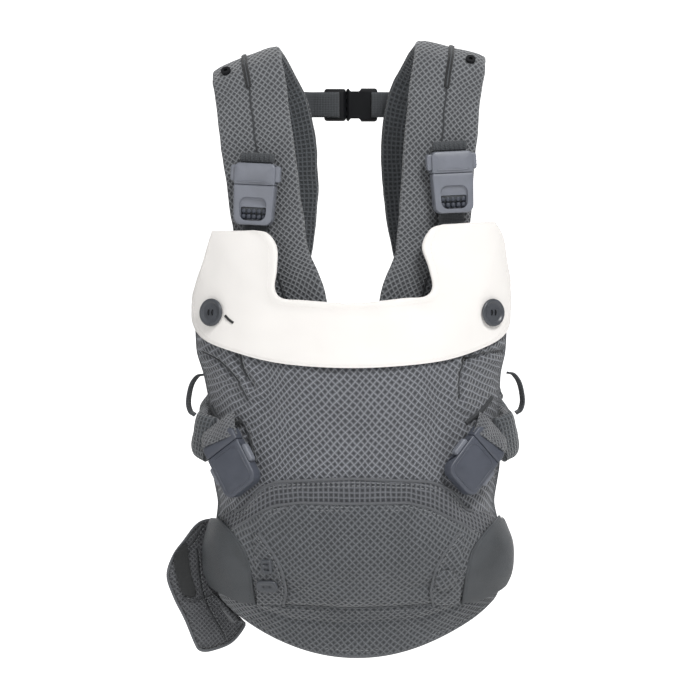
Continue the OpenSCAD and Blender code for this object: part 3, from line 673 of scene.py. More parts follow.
def build_seat():
    def lower(s, t):
        x = surface(s, np.full_like(s, 100.0))[..., 0]
        low = belt_low(s) + 1.5
        return s, low + (arc_height(SEAT_ARC, x) - low) * t

    def upper(s, t):
        u = s * 0.88
        x = surface(u, np.full_like(s, 115.0))[..., 0]
        low = arc_height(SEAT_ARC, x) - 3
        return u, low + (np.maximum(arc_height(SEAT_TOP, x), low + 2) - low) * t

    def folds(x, z):
        def groove(points, width):
            return np.exp(-(line_distance(x, z, points) / width) ** 2)

        belly = 2.2 * np.exp(-((z - 60) / 34) ** 2)
        fold = 2.4 * groove([(-112, 17), (-60, 10), (0, 8), (60, 10), (122, 18)], 2.6)
        ripple = 1.8 * np.exp(-((z - 18 - 0.0022 * x * x) / 7) ** 2) * np.cos(x / 21.0)
        hem = 1.6 * groove([(-96, 8), (-60, -4), (0, -9), (66, -3), (104, 10)], 3)
        roll = 1.2 * groove([(-70, -22), (0, -30), (74, -21)], 8)
        return belly - fold + ripple - hem + roll

    bottom = layer("seat_lower", lower, 3.6, 0.9, 181, 121, folds, 0.012)
    piece(bottom, SEAT_CLOTH, "root", ["seat_panel"])
    band = layer("seat_band", upper, 2.6, 0.5, 161, 31, None, 0.06)
    piece(band, BAND_CLOTH, "root", ["seat_panel"])
    xz = smooth_curve([(-100, 14), (-60, 10), (0, 8), (60, 10), (108, 15)], 120)
    piece(tube("seat_fold_seam", on_panel(xz, 2.2), 0.5, 8), BINDING, "root")
    sewn = stitches("seat_fold_stitch", on_panel(xz - [0, 3.4], 3.2), on_panel_normal(xz))
    piece(sewn, THREAD, "root")
    x = np.linspace(-116, 118, 160)
    for name, table, lift in (("top", SEAT_TOP, 2.6), ("low", SEAT_ARC, 3.6)):
        z = arc_height(table, x)
        cord = tube(f"seat_{name}_piping", on_panel(np.stack([x, z], 1), lift), 1.5, 8)
        piece(cord, BINDING, "root")
        for k, drop in enumerate((3.6, 7.0)):
            xz = np.stack([x, z - drop], 1)
            row = stitches(f"seat_{name}_stitch_{k}", on_panel(xz, lift + 0.1), on_panel_normal(xz))
            piece(row, THREAD, "root")


PATCH_OUTER = [(13, 104), (20, 122), (29, 138), (42, 143), (69, 144), (94, 138), (96, 136)]
PATCH_INNER = [(13, 96.5), (44, 100), (65, 105), (85, 121), (96, 132)]
TAB_INNER = [(10, 69), (26, 65), (45, 69), (62, 77), (76, 88), (84, 94)]


def rounded_table(table, low, high):
    """A table of (z, x) with its corners rounded off."""
    z = np.linspace(low, high, 80)
    x = np.interp(z, *np.array(table, float).T)
    weight = np.exp(-(np.arange(-9, 10) / 4.0) ** 2)
    return np.stack([z, np.convolve(np.pad(x, 9, "edge"), weight / weight.sum(), "valid")], 1)


def build_seat_trim():
    for word, side in SIDES.items():
        shift = 11 if side > 0 else 0
        inner = rounded_table(PATCH_INNER, 13, 96) * [1, side] + [0, shift]
        outer = rounded_table(PATCH_OUTER, 13, 96) * [1, side] + [0, shift - (1 if side > 0 else 0)]
        left, right = (outer, inner) if side < 0 else (inner, outer)
        def bulge(s, t, side=side):
            return 7.2 + 3.2 * np.sin(math.pi * t) ** 0.8 * smoothstep((1 + side * s) / 2 + 0.1)
        patch = layer(f"leg_patch_{word}_skin", between(left, right, 14, 95), bulge, 4.9, 61, 81,
                      lambda x, z: 1.0 * np.exp(-((z - 55) / 30) ** 2), 0.06)
        piece(patch, LEATHER, "root", [f"leg_patch_{word}"])
        edge = inner[::-1][:, ::-1]
        piece(tube(f"leg_patch_{word}_piping", on_panel(edge, 6.0), 1.5, 8), LEATHER, "root")
        seam_shade = stitches(f"leg_patch_{word}_stitch", on_panel(edge[4:-3] + [side * 3.0, 0], 7.1),
                        on_panel_normal(edge[4:-3]), 2.4, 3.8, 0.4)
        piece(seam_shade, DARK_THREAD_AND_SEAM_SHADE, "root")

        near = rounded_table(TAB_INNER, 12, 82) * [1, side] + [0, shift]
        far = np.array([(10, side * 94 + shift), (84, side * 97 + shift)], float)
        left, right = (far, near) if side < 0 else (near, far)
        tab = layer(f"seat_tab_{word}_cloth", between(left, right, 12, 82), 6.6, 4.6, 41, 61, None, 0.06)
        piece(tab, SEAT_CLOTH, "root", [f"seat_tab_{word}"])
        edge = near[:, ::-1]
        piece(tube(f"seat_tab_{word}_binding", on_panel(edge, 6.0), 1.3, 8), BINDING, "root")
        seam_shade = stitches(f"seat_tab_{word}_stitch", on_panel(edge[2:-2] + [side * 3.2, 0], 6.8),
                        on_panel_normal(edge[2:-2]), 2.6, 4.0, 0.45)
        piece(seam_shade, THREAD, "root")


# ---- Bib -----------------------------------------------------------------------------------
BIB = np.array([
    [-97, 384, -139, 384], [-84, 381, -143, 371], [-75, 367, -148, 353], [-75, 345, -155, 331],
    [-77, 326, -160, 304], [-70, 316, -149, 277], [-50, 314, -112, 261], [-25, 312, -65, 250],
    [0, 311, 0, 246], [25, 313, 65, 250], [50, 316, 108, 259], [71, 318, 146, 277], [78, 328, 156, 301],
    [74, 348, 156, 328], [68, 368, 152, 352], [76, 385, 148, 378], [88, 390, 140, 394]], float)
BIB_BUTTONS = ((-138, 302), (136, 302))


def build_bib():
    inner, outer = smooth_curve(BIB[:, :2], 141), smooth_curve(BIB[:, 2:], 141)
    s = np.linspace(0, 1, 41)[None, :, None]
    xz = inner[:, None] * (1 - s) + outer[:, None] * s
    run = np.linspace(0, 1, 141)[:, None]
    across = s[..., 0]
    rim = np.minimum(np.minimum(across, 1 - across) / 0.05, np.minimum(run, 1 - run) / 0.02)
    full = np.sqrt(np.maximum(0, 1 - (1 - np.clip(rim, 0, 1)) ** 2))
    base = on_panel(xz)
    soft = (wrinkle(base, 40, 1.6, 2) + wrinkle(base, 17, 0.5, 5)) * np.clip(rim / 4, 0, 1)
    roll = 2.2 * np.exp(-(across / 0.13) ** 2)
    for bx, bz in BIB_BUTTONS:
        soft = soft - 0.8 * np.exp(-((xz[..., 0] - bx) ** 2 + (xz[..., 1] - bz) ** 2) / 22 ** 2)
    front = on_panel(xz, 4.5 + 1.3 * full + soft + roll)
    back = on_panel(xz, 4.5 - 1.0 * full + 0.4 * soft)
    bib = closed_sheet("bib_cloth", front, back)
    piece(bib, COTTON, "root", ["bib"])
    for name, at in (("neck", 0.10), ("lower", 0.955)):
        line = front[3:-3, int(at * 40)]
        path = xz[3:-3, int(at * 40)]
        row = stitches(f"bib_{name}_stitch", line, on_panel_normal(path), 2.6, 4.2, 0.32, 0.05)
        piece(row, COTTON, "root")
    slit = smooth_curve([(-125.5, 299), (-122, 295), (-117.5, 291.5)], 14)
    piece(tube("bib_buttonhole", on_panel(slit, 5.9), 1.3, 8, 0.5), TAPE, "root")
    for word, (bx, bz) in zip(("left", "right"), BIB_BUTTONS):
        build_round_button(f"bib_button_{word}", (bx, bz), 6.7, 14, ["bib_buttons"])


def ring_solid(rings, count=64):
    """A solid of revolution about -Y from (radius, distance) pairs, in millimetres."""
    a = 2 * math.pi * np.arange(count) / count
    points = [np.stack([r * np.cos(a), np.full(count, -d), r * np.sin(a)], 1) for r, d in rings]
    faces = []
    for i in range(len(rings) - 1):
        for k in range(count):
            m = (k + 1) % count
            faces.append([i * count + k, i * count + m, (i + 1) * count + m, (i + 1) * count + k])
    faces += [list(range(count))[::-1], [(len(rings) - 1) * count + k for k in range(count)]]
    return np.concatenate(points), faces


def facing(points, origin, normal):
    """Points whose -Y is turned to a normal and moved to an origin."""
    n = unit(np.asarray(normal, float))
    x = unit(np.cross([0, 0, 1.0], n) * -1)
    x = -x if x[0] < 0 else x
    z = np.cross(x, -n)
    return origin + points[:, :1] * x - points[:, 1:2] * n + points[:, 2:] * z


def build_round_button(name, xz, d, radius, stands_for):
    normal = on_panel_normal(np.array(xz, float))
    origin = on_panel(np.array(xz, float), d)
    r = radius
    rings = [(r - 3, -1.0), (r - 0.9, -0.6), (r - 0.1, 0.4), (r, 1.2), (r - 0.3, 2.3), (r - 1.2, 3.0),
             (r - 2.4, 3.0), (r - 3.4, 2.5), (r - 4.2, 1.6), (r - 5.2, 1.35), (r - 8, 1.45), (1.5, 1.6)]
    points, faces = ring_solid(rings)
    disc = new_object(name, facing(points, origin, normal) * MM, faces)
    piece(disc, BUTTON, "root", stands_for)
    # two sewn bars through the middle hold the button
    for k in (-1, 1):
        bend = ((-1.5, -2.6), (-2.5, -1.2), (-2.5, 1.2), (-1.5, 2.6))
        bar = smooth_curve([(k * 2.3, y, z) for y, z in bend], 12)
        thread = tube(f"{name}_thread_{'ab'[k > 0]}", facing(bar, origin, normal), 0.7, 8)
        piece(thread, BLACK, "root")


# ---- Belt, wings and pouch -------------------------------------------------------------------
def section(width, thick, seam_shade=0.0, piping=0.0, soft=5.0, count=37):
    """Half sections (across, outward) of a padded band, from one edge to the other: front and back."""
    half = width / 2
    s = np.sin(np.linspace(-1, 1, count) * math.pi / 2) * half
    s = np.unique(np.concatenate([s, [-2.6, -1.5, -0.7, 0.7, 1.5, 2.6]]))
    y = thick / 2 * np.maximum(0, 1 - np.abs(s / half) ** soft) ** 0.5
    front = y - seam_shade * np.exp(-(s / 1.1) ** 2) + piping * np.exp(-((np.abs(s) - half + 2.6) / 1.1) ** 2)
    front[0] = front[-1] = 0
    return s, front, y


def sweep(name, stations, side, cols=120, seam_shade=0.0, piping=0.0, soft=5.0, lump=0.8):
    """A padded band through stations (centre, width direction, width, thickness), in millimetres.
    Its outward half has the first material and its inward half the second."""
    line = smooth_curve([[*c, *w, a, t] for c, w, a, t in stations], cols)
    centre, hint = line[:, :3], line[:, 3:6]
    ahead = unit(np.gradient(centre, axis=0))
    w = unit(hint - (hint * ahead).sum(1, keepdims=True) * ahead)
    out = side * np.cross(ahead, w)
    rings, flat = [], []
    for i in range(cols):
        s, front, back = section(line[i, 6], line[i, 7], seam_shade, piping, soft)
        across = np.concatenate([s, s[-2:0:-1]])
        lift = np.concatenate([front, -back[-2:0:-1]])
        rings.append(centre[i] + across[:, None] * w[i] + lift[:, None] * out[i])
        flat.append(across)
    rings = np.array(rings)
    n = rings.shape[1]
    half = len(s)
    direction = unit(rings - centre[:, None])
    rings = rings + direction * (wrinkle(rings, 30, lump, 9) + wrinkle(rings, 11, lump * 0.35, 4))[..., None]
    for end in (0, cols - 1):
        rings[end] = centre[end] + (rings[end] - centre[end]) * 0.8
    faces, inward = [], []
    for i in range(cols - 1):
        for k in range(n):
            m = (k + 1) % n
            faces.append([i * n + k, i * n + m, (i + 1) * n + m, (i + 1) * n + k])
            inward.append(k >= half - 1)
    if side > 0:
        faces = [f[::-1] for f in faces]
    faces += [list(range(n)), [(cols - 1) * n + k for k in range(n)][::-1]]
    inward += [False, False]
    run = np.concatenate([[0], np.cumsum(np.linalg.norm(np.diff(centre, axis=0), axis=1))])
    uv = np.stack([np.array(flat) * MM, np.repeat(run[:, None] * MM, n, 1)], 2).reshape(-1, 2)
    obj = new_object(name, rings.reshape(-1, 3) * MM, faces, uv)
    obj.data.polygons.foreach_set("material_index", [int(k) for k in inward])
    fix_normals(obj)
    return obj, rings, w, out


def fix_normals(obj):
    shape = bmesh.new()
    shape.from_mesh(obj.data)
    bmesh.ops.recalc_face_normals(shape, faces=shape.faces)
    shape.to_mesh(obj.data)
    shape.free()


WING = [(-111, -26, 22), (-113, 0, 23), (-112, 35, 24), (-105, 68, 23), (-93, 96, 21)]
WING_TAPER = (1, 1, 1, 0.9, 0.7)


def sided(point, side, shift=0.0):
    return (-side * point[0] + shift, point[1], point[2])


def build_belt():
    def at(s, t):
        u = s * 0.78
        return u, belt_low(u) + 54 * t
    belt = layer("belt_pad", at, 0, -16, 141, 41, None, 0.09)
    piece(belt, SEAT_CLOTH, "root", ["waist_belt"])
    u = np.linspace(-0.97, 0.97, 150)
    hem = tube("belt_hem", panel_point(u, belt_low(u) + 2.5, 1.6), 2.2, 10)
    piece(hem, BINDING, "root")
    z = belt_low(u) + 9
    piece(stitches("belt_stitch", panel_point(u, z, 3.8), panel_normal(u, z)), THREAD, "root")
    for word, side in SIDES.items():
        shift = 8 if side > 0 else 0
        stations = [(sided(p, side, shift), (0, 0, 1), 50 * k, 11) for p, k in zip(WING, WING_TAPER)]
        wing, _, _, _ = sweep(f"belt_wing_{word}_pad", stations, side, 70, 0.0, 0.9)
        piece(wing, [SEAT_CLOTH, LINING], f"wing_{word}", [f"belt_wing_{word}"])


POUCH = [(-155, 90), (-171, 71), (-181, 57), (-187, 37), (-180, 15), (-169, -7), (-159, -31), (-154, -38),
         (-143, -38), (-123, -30), (-110, -14), (-112, -9), (-120, -5), (-120, 86), (-136, 93)]


def build_pouch():
    outline = smooth_curve(POUCH, 150, closed=True)[:-1]
    middle = np.array([-148.0, 28.0])
    rings = []
    # shares of the outline and depths: front middle, front edge, side wall, back edge, back middle
    profile = [(0.05, -14.5), (0.35, -14.4), (0.6, -14.1), (0.8, -13.6), (0.92, -12.4), (0.975, -10.2),
               (1.0, -6.0), (1.005, 2.0), (0.99, 8.0), (1.005, 14.0), (1.0, 22.0), (0.975, 26.5),
               (0.92, 28.6), (0.8, 29.4), (0.4, 29.8), (0.05, 29.8)]
    for f, y in profile:
        xz = middle + (outline - middle) * f
        rings.append(np.stack([xz[:, 0], np.full(len(xz), y), xz[:, 1]], 1))
    rings = np.array(rings)
    inside = np.clip(1 - np.abs(rings[..., 1] - 8) / 24, 0, 1)
    lump = wrinkle(rings, 22, 1.3, 6) + wrinkle(rings, 9, 0.35, 1)
    rings[..., 1] += lump * (1 - inside) * np.where(rings[..., 1] < 8, 1, -1)
    n = rings.shape[1]
    faces = []
    for i in range(len(rings) - 1):
        for k in range(n):
            m = (k + 1) % n
            if 6 <= i <= 9 and rings[i, k, 2] > 83 and -154 < rings[i, k, 0] < -121:
                continue
            faces.append([i * n + k, i * n + m, (i + 1) * n + m, (i + 1) * n + k])
    faces += [list(range(n))[::-1], [(len(rings) - 1) * n + k for k in range(n)]]
    uv = rings[..., [0, 2]] * MM
    uv = uv + np.stack([rings[..., 1] * 0.7 * MM, 0 * uv[..., 0]], 2)
    bag = new_object("pouch_bag", rings.reshape(-1, 3) * MM, faces, uv.reshape(-1, 2))
    fix_normals(bag)
    wall = bag.modifiers.new("wall", "SOLIDIFY")
    wall.thickness = 2.4 * MM
    wall.offset = -1
    piece(bag, POUCH_CLOTH, "wing_left", ["pouch"])
    lines = {
        "side": [(-180, 60), (-165, 67), (-152, 87)],
        "down": [(-158, 64), (-151, 16), (-129, -26)],
        "across": [(-172, 15), (-158, 12), (-142, 17), (-123, 21)],
    }
    for name, points in lines.items():
        xz = smooth_curve(points, 60)
        path = np.stack([xz[:, 0], np.full(60, -15.4), xz[:, 1]], 1)
        piece(tube(f"pouch_{name}_seam", path, 0.9, 8), DARK_THREAD_AND_SEAM_SHADE, "wing_left")
        path = path + np.array([2.6, -0.2, 0])
        sewn = stitches(f"pouch_{name}_stitch", path, (0, -1, 0), 2.6, 4.2, 0.4, 0.0)
        piece(sewn, THREAD, "wing_left")
    edge = smooth_curve(outline, 160, closed=True)[:-1]
    path = np.stack([edge[:, 0], np.full(len(edge), -11.6), edge[:, 1]], 1)
    rim = tube("pouch_piping", path, 1.4, 8, closed=True)
    piece(rim, BINDING, "wing_left")
    corners = [(-180, 56), (-176, 65), (-167, 68), (-166, 55),
               (-163, 38), (-158.5, 18), (-171, 18), (-179, 40)]
    band = smooth_curve(corners, 80, closed=True)[:-1]
    mid = band.mean(0)
    layers = [(1.0, -14.6), (1.0, -15.4), (0.97, -16.0), (0.9, -16.2), (0.6, -16.4), (0.1, -16.4)]
    pts = np.concatenate([np.stack([(mid + (band - mid) * f)[:, 0], np.full(len(band), y),
                                    (mid + (band - mid) * f)[:, 1]], 1) for f, y in layers])
    n = len(band)
    faces = [[i * n + k, i * n + (k + 1) % n, (i + 1) * n + (k + 1) % n, (i + 1) * n + k]
             for i in range(len(layers) - 1) for k in range(n)]
    faces += [list(range(n)), [(len(layers) - 1) * n + k for k in range(n)][::-1]]
    tab = new_object("pouch_band_webbing", pts * MM, faces, pts[:, [0, 2]] * MM)
    fix_normals(tab)
    piece(tab, TAPE, "wing_left", ["pouch_band"])


# ---- Straps, sleeves, loops --------------------------------------------------------------------
STRAP = [
    ((-57, -50, 268), (0.96, -0.28, 0), 0.95), ((-66, -51, 315), (0.96, -0.28, 0), 1.08),
    ((-79, -52, 355), (0.96, -0.28, 0), 1), ((-87, -51, 405), (0.96, -0.28, 0), 1),
    ((-93, -50, 450), (0.97, -0.25, 0.05), 1), ((-99, -45, 490), (0.98, -0.15, 0.15), 0.98),
    ((-103, -37, 522), (0.94, -0.05, 0.3), 0.98), ((-106, -27, 542), (0.93, 0, 0.37), 0.98),
    ((-107, -9, 553.5), (0.93, 0, 0.37), 0.98), ((-107, 4, 553.5), (0.93, 0, 0.37), 0.98),
    ((-106, 14, 552.5), (0.93, 0, 0.37), 0.98), ((-103, 25, 548), (0.93, 0, 0.37), 0.98),
    ((-93, 42, 532), (0.95, 0.05, 0.3), 0.96), ((-80, 58, 504), (0.98, 0.1, 0.15), 0.98),
    ((-73, 70, 465), (0.99, 0.1, 0.05), 0.98), ((-72, 76, 415), (0.99, 0.1, 0), 0.97),
    ((-77, 77, 360), (0.98, 0.15, 0.1), 0.92), ((-93, 70, 305), (0.9, 0.2, 0.35), 0.8),
    ((-114, 56, 258), (0.75, 0.2, 0.6), 0.7), ((-133, 36, 229), (0.5, 0.1, 0.85), 0.64),
    ((-137, 30, 223), (0.5, 0.1, 0.85), 0.64)]
SLEEVE = [((-136, 31.5, 224.5), (0.5, 0.1, 0.85)), ((-140, 25.5, 218.5), (0.5, 0.05, 0.85)),
          ((-143, 10, 206), (0.45, -0.2, 0.87)), ((-152.5, -16, 189), (0.3, -0.3, 0.9)),
          ((-154.5, -41, 180), (0.15, -0.3, 0.93)), ((-142, -58, 174), (0.4, -0.3, 0.85))]


def strap_point(p, side):
    if side < 0:
        return p
    k = float(smoothstep((p[2] - 315) / 200))
    return (-p[0] - 9 * k, p[1], p[2] + 10 * k)


def strap_dir(v, side):
    return v if side < 0 else (-v[0], v[1], v[2] * 0.6)


def build_straps():
    for word, side in SIDES.items():
        stations = [(strap_point(c, side), strap_dir(w, side), 75 * k, 14) for c, w, k in STRAP]
        strap, rings, w, out = sweep(f"strap_{word}", stations, side, 330, 0.9, 0.9, 6.0, 1.1)
        piece(strap, [STRAP_CLOTH, LINING], "root",
              [f"strap_front_{word}", f"strap_back_{word}"])
        half = (rings.shape[1] + 2) // 2
        mid = half // 2
        heights = rings[:, mid, 2]
        top = int(np.argmax(heights))
        for k, col in ((0, 3), (1, half - 4)):
            rows = rings[14:-4, col]
            piece(stitches(f"strap_{word}_edge_stitch_{k}", rows, out[14:-4], 3.0, 4.8, 0.4), THREAD, "root")
        seam_shade = rings[14:top, mid] + out[14:top] * 0.55
        seam_shade = seam_shade + w[14:top] * (0.5 * np.sin(np.arange(len(seam_shade)) * 0.42))[:, None]
        piece(tube(f"strap_{word}_centre_seam", seam_shade, 0.85, 8), DARK_THREAD_AND_SEAM_SHADE, "root")
        start = int(np.argmin(np.abs(heights[:top] - 528)))
        rows = rings[start:top + 8, mid] + out[start:top + 8] * 2.3
        tape = tube(f"strap_tape_{word}", rows, 2.9, 12, 0.3, out[start:top + 8])
        piece(tape, TAPE, "root", ["strap_tapes"])
        line = rings[start:top + 8, mid] + out[start:top + 8] * 3.1
        teeth = tube(f"strap_tape_{word}_teeth", line, 0.6, 8, 0.6, out[start:top + 8])
        piece(teeth, WEBBING, "root")

        sleeve_rows = []
        for i, (centre, across) in enumerate(SLEEVE):
            shift = 4 if side > 0 and i > 1 else 0
            row = sided(centre, side, shift), sided(across, side), 48 - 2 * i / 5, 14 - 3 * i / 5
            sleeve_rows.append(row)
        sleeve, rings, w, out = sweep(f"sleeve_{word}_cloth", sleeve_rows, side, 90, 0.0, 0.8, 5.0, 1.0)
        piece(sleeve, [SLEEVE_CLOTH, LINING], "root", [f"sleeve_{word}"])
        half = (rings.shape[1] + 2) // 2
        for k, col in ((0, 4), (1, half - 5)):
            piece(stitches(f"sleeve_{word}_stitch_{k}", rings[6:-3, col], out[6:-3], 2.8, 4.4, 0.4), THREAD,
                  "root")


LOOP = [(x, -14, z) for x, z in ((-150, 240), (-157, 238), (-163, 229), (-166, 213), (-164, 203), (-159, 199))]


def ribbon(name, path, width_dir, width, thick, cols=60, curve=True):
    """A flat webbing along a path, with rounded selvedges, in millimetres."""
    line = smooth_curve(path, cols) if curve else np.asarray(path, float)
    ahead = unit(np.gradient(line, axis=0))
    hint = np.broadcast_to(np.asarray(width_dir, float), line.shape)
    w = unit(hint - (hint * ahead).sum(1, keepdims=True) * ahead)
    n = np.cross(ahead, w)
    half = width / 2
    s = np.concatenate([np.linspace(-half, half, 9), np.linspace(half, -half, 9)])
    h = np.concatenate([np.array([0.35, 1, 0.8, 0.9, 0.9, 0.9, 0.8, 1, 0.35]),
                        -np.array([0.35, 1, 0.8, 0.9, 0.9, 0.9, 0.8, 1, 0.35])]) * thick / 2
    rings = line[:, None] + s[None, :, None] * w[:, None] + h[None, :, None] * n[:, None]
    k = len(s)
    faces = [[i * k + j, i * k + (j + 1) % k, (i + 1) * k + (j + 1) % k, (i + 1) * k + j]
             for i in range(len(line) - 1) for j in range(k)]
    faces += [list(range(k)), [(len(line) - 1) * k + j for j in range(k)][::-1]]
    run = np.concatenate([[0], np.cumsum(np.linalg.norm(np.diff(line, axis=0), axis=1))])
    uv = np.stack([np.tile(s, len(line)), np.repeat(run, k)], 1) * MM
    obj = new_object(name, rings.reshape(-1, 3) * MM, faces, uv)
    fix_normals(obj)
    return obj


def build_loops():
    for word, side in SIDES.items():
        path = [np.array(sided(p, side)) + ((5, 0, 2) if side > 0 else (0, 0, 0)) for p in LOOP]
        loop = ribbon(f"finger_loop_{word}_webbing", path, (-side * 0.32, 0.95, 0.05), 13, 2.4)
        piece(loop, WEBBING, f"loop_{word}", [f"finger_loop_{word}"])


# ---- Cross strap ---------------------------------------------------------------------------------
CROSS_Y, CROSS_Z = 84, 515


# From the strap's back to the clip: place, then the width's direction
CROSS_WEB = [
    ((-88, 58.4, 516), (0, -0.42, 0.91)), ((-80, 61.8, 516), (0, -0.42, 0.91)),
    ((-66, 65.6, 516), (0, -0.42, 0.91)), ((-58, 68.6, 515.6), (0, -0.34, 0.94)),
    ((-50, 74, 515.2), (0, -0.16, 0.98)), ((-42, 77.6, CROSS_Z), (0, 0, 1)), ((-34, 76.9, CROSS_Z), (0, 0, 1)),
    ((-24, 76.6, CROSS_Z), (0, 0, 1)), ((-18, 76.6, CROSS_Z), (0, 0, 1)), ((-14, 77.2, CROSS_Z), (0, 0, 1)),
]
RIGHT_WEB_SHIFT = (-5, 3.6)


def build_cross_strap():
    for word, side in SIDES.items():
        rows = CROSS_WEB if side < 0 else CROSS_WEB[:-2]
        shift, lift = (0, 0) if side < 0 else RIGHT_WEB_SHIFT
        path = [(-side * x + shift, y + lift * (k < 4), z) for k, ((x, y, z), _) in enumerate(rows)]
        turns = smooth_curve([direction for _, direction in rows], 60)
        web = ribbon(f"cross_webbing_{word}", path, turns, 26, 2.0)
        behind = [(-33, 79.5), (-35.5, 84), (-32, 90.4), (-22, 90.6), (-14, 90.4)]
        behind = [(-side * x + shift, y, CROSS_Z) for x, y in behind]
        back = ribbon(f"cross_webbing_{word}_return", behind, (0, 0, 1), 25, 1.8)
        piece(back, WEBBING, "root" if word == "right" else "clip_half")
        piece(web, WEBBING, "root" if word == "right" else None, [f"cross_web_{word}"])
        if word == "left":
            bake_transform(web)
        for k, across in enumerate((-86, -67)):
            if side > 0:
                across += 5
            (near, back, height), turn = [line for line in rows if abs(line[0][0] - across) < 12][0]
            y = back + lift + (1.6 if k else 1.5) + (across - near) * 0.28
            along = np.linspace(-11, 11, 30)[:, None] * np.array(turn) + (-side * across, y, height)
            sewn = stitches(f"cross_webbing_{word}_stitch_{k}", along, (0, 0.91, 0.42), 2.4, 3.6, 0.4)
            piece(sewn, THREAD, "root")
    refine("clip_prong_top", BLACK, 0.6)
    refine("clip_prong_bottom", BLACK, 0.6)
    refine("belt_buckle_socket", BLACK, 0.9)
    refine("belt_buckle_plug", BLACK, 0.8)
    build_clip_halves()


def build_clip_halves():
    """The cross strap's clip: a notched socket and a plug, each with softened edges."""
    def place(points):
        return np.asarray(points, float) + (0, CROSS_Y + 5, CROSS_Z)

    profile = [(1.2, 0), (0.3, 0.4), (0, 1.2), (0, 6.4), (0.5, 7.6), (2.6, 9.8), (3.4, 10)]
    socket = loft("cross_clip_socket_shell", plate_rings(32, 34, 3.2, profile, (9, 0)), place)
    carve(socket, loft("cavity", plate_rings(21, 28.6, 0.4, [(0, 2), (0, 8)], (2.5, 0)), place))
    for z in (-19.6, 19.6):
        carve(socket, loft("notch", plate_rings(14, 14, 6.9, [(0, -1), (0, 11)], (2, z)), place))
    finish_plastic(socket, BLACK, "root", ["cross_clip_socket"])
    plug = loft("cross_clip_plug_shell", plate_rings(22.4, 33, 3.2, profile, (-18.2, 0)), place)
    finish_plastic(plug, BLACK, "clip_half", ["cross_clip_plug"])
    rings = plate_rings(19, 4, 0.8, [(0.3, 2.6), (0, 3), (0, 7), (0.3, 7.4)], (1.4, 0))
    guide = loft("cross_clip_guide", rings, place)
    piece(guide, BLACK, "clip_half")


def refine(node, material, bevel):
    """A carried-over CAD node with rounded edges and its own material."""
    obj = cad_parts[node]
    obj.data.materials.clear()
    obj.data.materials.append(material)
    edge = obj.modifiers.new("edge", "BEVEL")
    edge.width = bevel * MM
    edge.segments = 3
    edge.limit_method = "ANGLE"
    edge.angle_limit = math.radians(35)
    edge.harden_normals = True
    return obj


# ---- Magnetic buckles ------------------------------------------------------------------------------
def rounded_rect(w, h, r, n=8, low=None):
    """Outline of a plate w by h; r rounds it, and low, where given, its lower corners."""
    limit = min(w, h) / 2 - 0.01
    r, low = min(r, limit), min(r if low is None else low, limit)
    out = []
    for cx, cz, start, r in ((w / 2 - r, h / 2 - r, 0, r), (-w / 2 + r, h / 2 - r, 90, r),
                             (-w / 2 + low, -h / 2 + low, 180, low), (w / 2 - low, -h / 2 + low, 270, low)):
        for a in np.radians(start + np.linspace(0, 90, n)):
            out.append((cx + r * math.cos(a), cz + r * math.sin(a)))
    return np.array(out)


def plate_rings(w, h, r, profile, centre=(0, 0), low=None):
    """Rings of a rounded plate from (inset, distance) pairs, back to front; -Y is the front."""
    rings = []
    for inset, d in profile:
        xz = rounded_rect(w - 2 * inset, h - 2 * inset, max(0.3, r - inset),
                          low=max(0.3, (r if low is None else low) - inset)) + centre
        rings.append(np.stack([xz[:, 0], np.full(len(xz), -d), xz[:, 1]], 1))
    return rings


def loft(name, rings, place):
    n = len(rings[0])
    faces = [[i * n + k, i * n + (k + 1) % n, (i + 1) * n + (k + 1) % n, (i + 1) * n + k]
             for i in range(len(rings) - 1) for k in range(n)]
    faces += [list(range(n))[::-1], [(len(rings) - 1) * n + k for k in range(n)]]
    points = np.concatenate(rings)
    obj = new_object(name, place(points) * MM, faces, points[:, [0, 2]] * MM)
    fix_normals(obj)
    return obj


def placer(at, lean, yaw):
    turn = Matrix.Rotation(math.radians(yaw), 3, "Z") @ Matrix.Rotation(math.radians(lean), 3, "Y")
    turn = np.array(turn)
    return lambda points: np.asarray(points, float) @ turn.T + np.array(at, float)


def edge_profile(depth, crown, inset_to, back=1.2):
    """Inset and distance pairs: rounded back edge, wall, rounded front edge, crowned face."""
    out = [(back, 0), (0.3, 0.35), (0, 1.0), (0, depth - 1.7), (0.15, depth - 0.9), (0.6, depth - 0.25),
           (1.4, depth)]
    for k in np.linspace(0.15, 1, 6):
        out.append((1.4 + (inset_to - 1.4) * k, depth + crown * (1 - (1 - k) ** 2)))
    return out


def carve(obj, cutter):
    """Takes the cutter's shape out of obj."""
    cut = obj.modifiers.new("cut", "BOOLEAN")
    cut.operation = "DIFFERENCE"
    cut.solver = "EXACT"
    cut.object = cutter
    mesh = bpy.data.meshes.new_from_object(obj.evaluated_get(bpy.context.evaluated_depsgraph_get()))
    obj.modifiers.clear()
    obj.data = mesh
    bpy.data.objects.remove(cutter)


BUCKLES = {
    "top": dict(at={-1: (-96.5, -61, 421), 1: (97.5, -61, 433)}, lean={-1: -3, 1: -3},
                yaw=16, split=9, button=(12, 29)),
    "side": dict(at={-1: (-117, -79, 151), 1: (117, -79, 153)}, lean={-1: -148, 1: -137},
                 yaw=36, split=-17, button=(-9, 11)),
}


# Inset and distance pairs of a release button, back to front
KEY_PROFILE = [(0.8, 3.4), (0.1, 3.8), (0, 4.6), (0, 8.4), (0.2, 9.3), (0.8, 9.9), (1.8, 10.0)]
# Recess and window of the upper tongues: distance, lowest and highest point, half width
WINDOW_RECESS = ((9.3, -25, -6.5, 14.0), (10.3, -26.4, -4.2, 14.6), (13.4, -27, -2.8, 15.0))
WINDOW = ((4.0, -26.5, -13.6, 14.0), (9.0, -26.7, -13.2, 14.2), (11.4, -27, -12.8, 14.4))


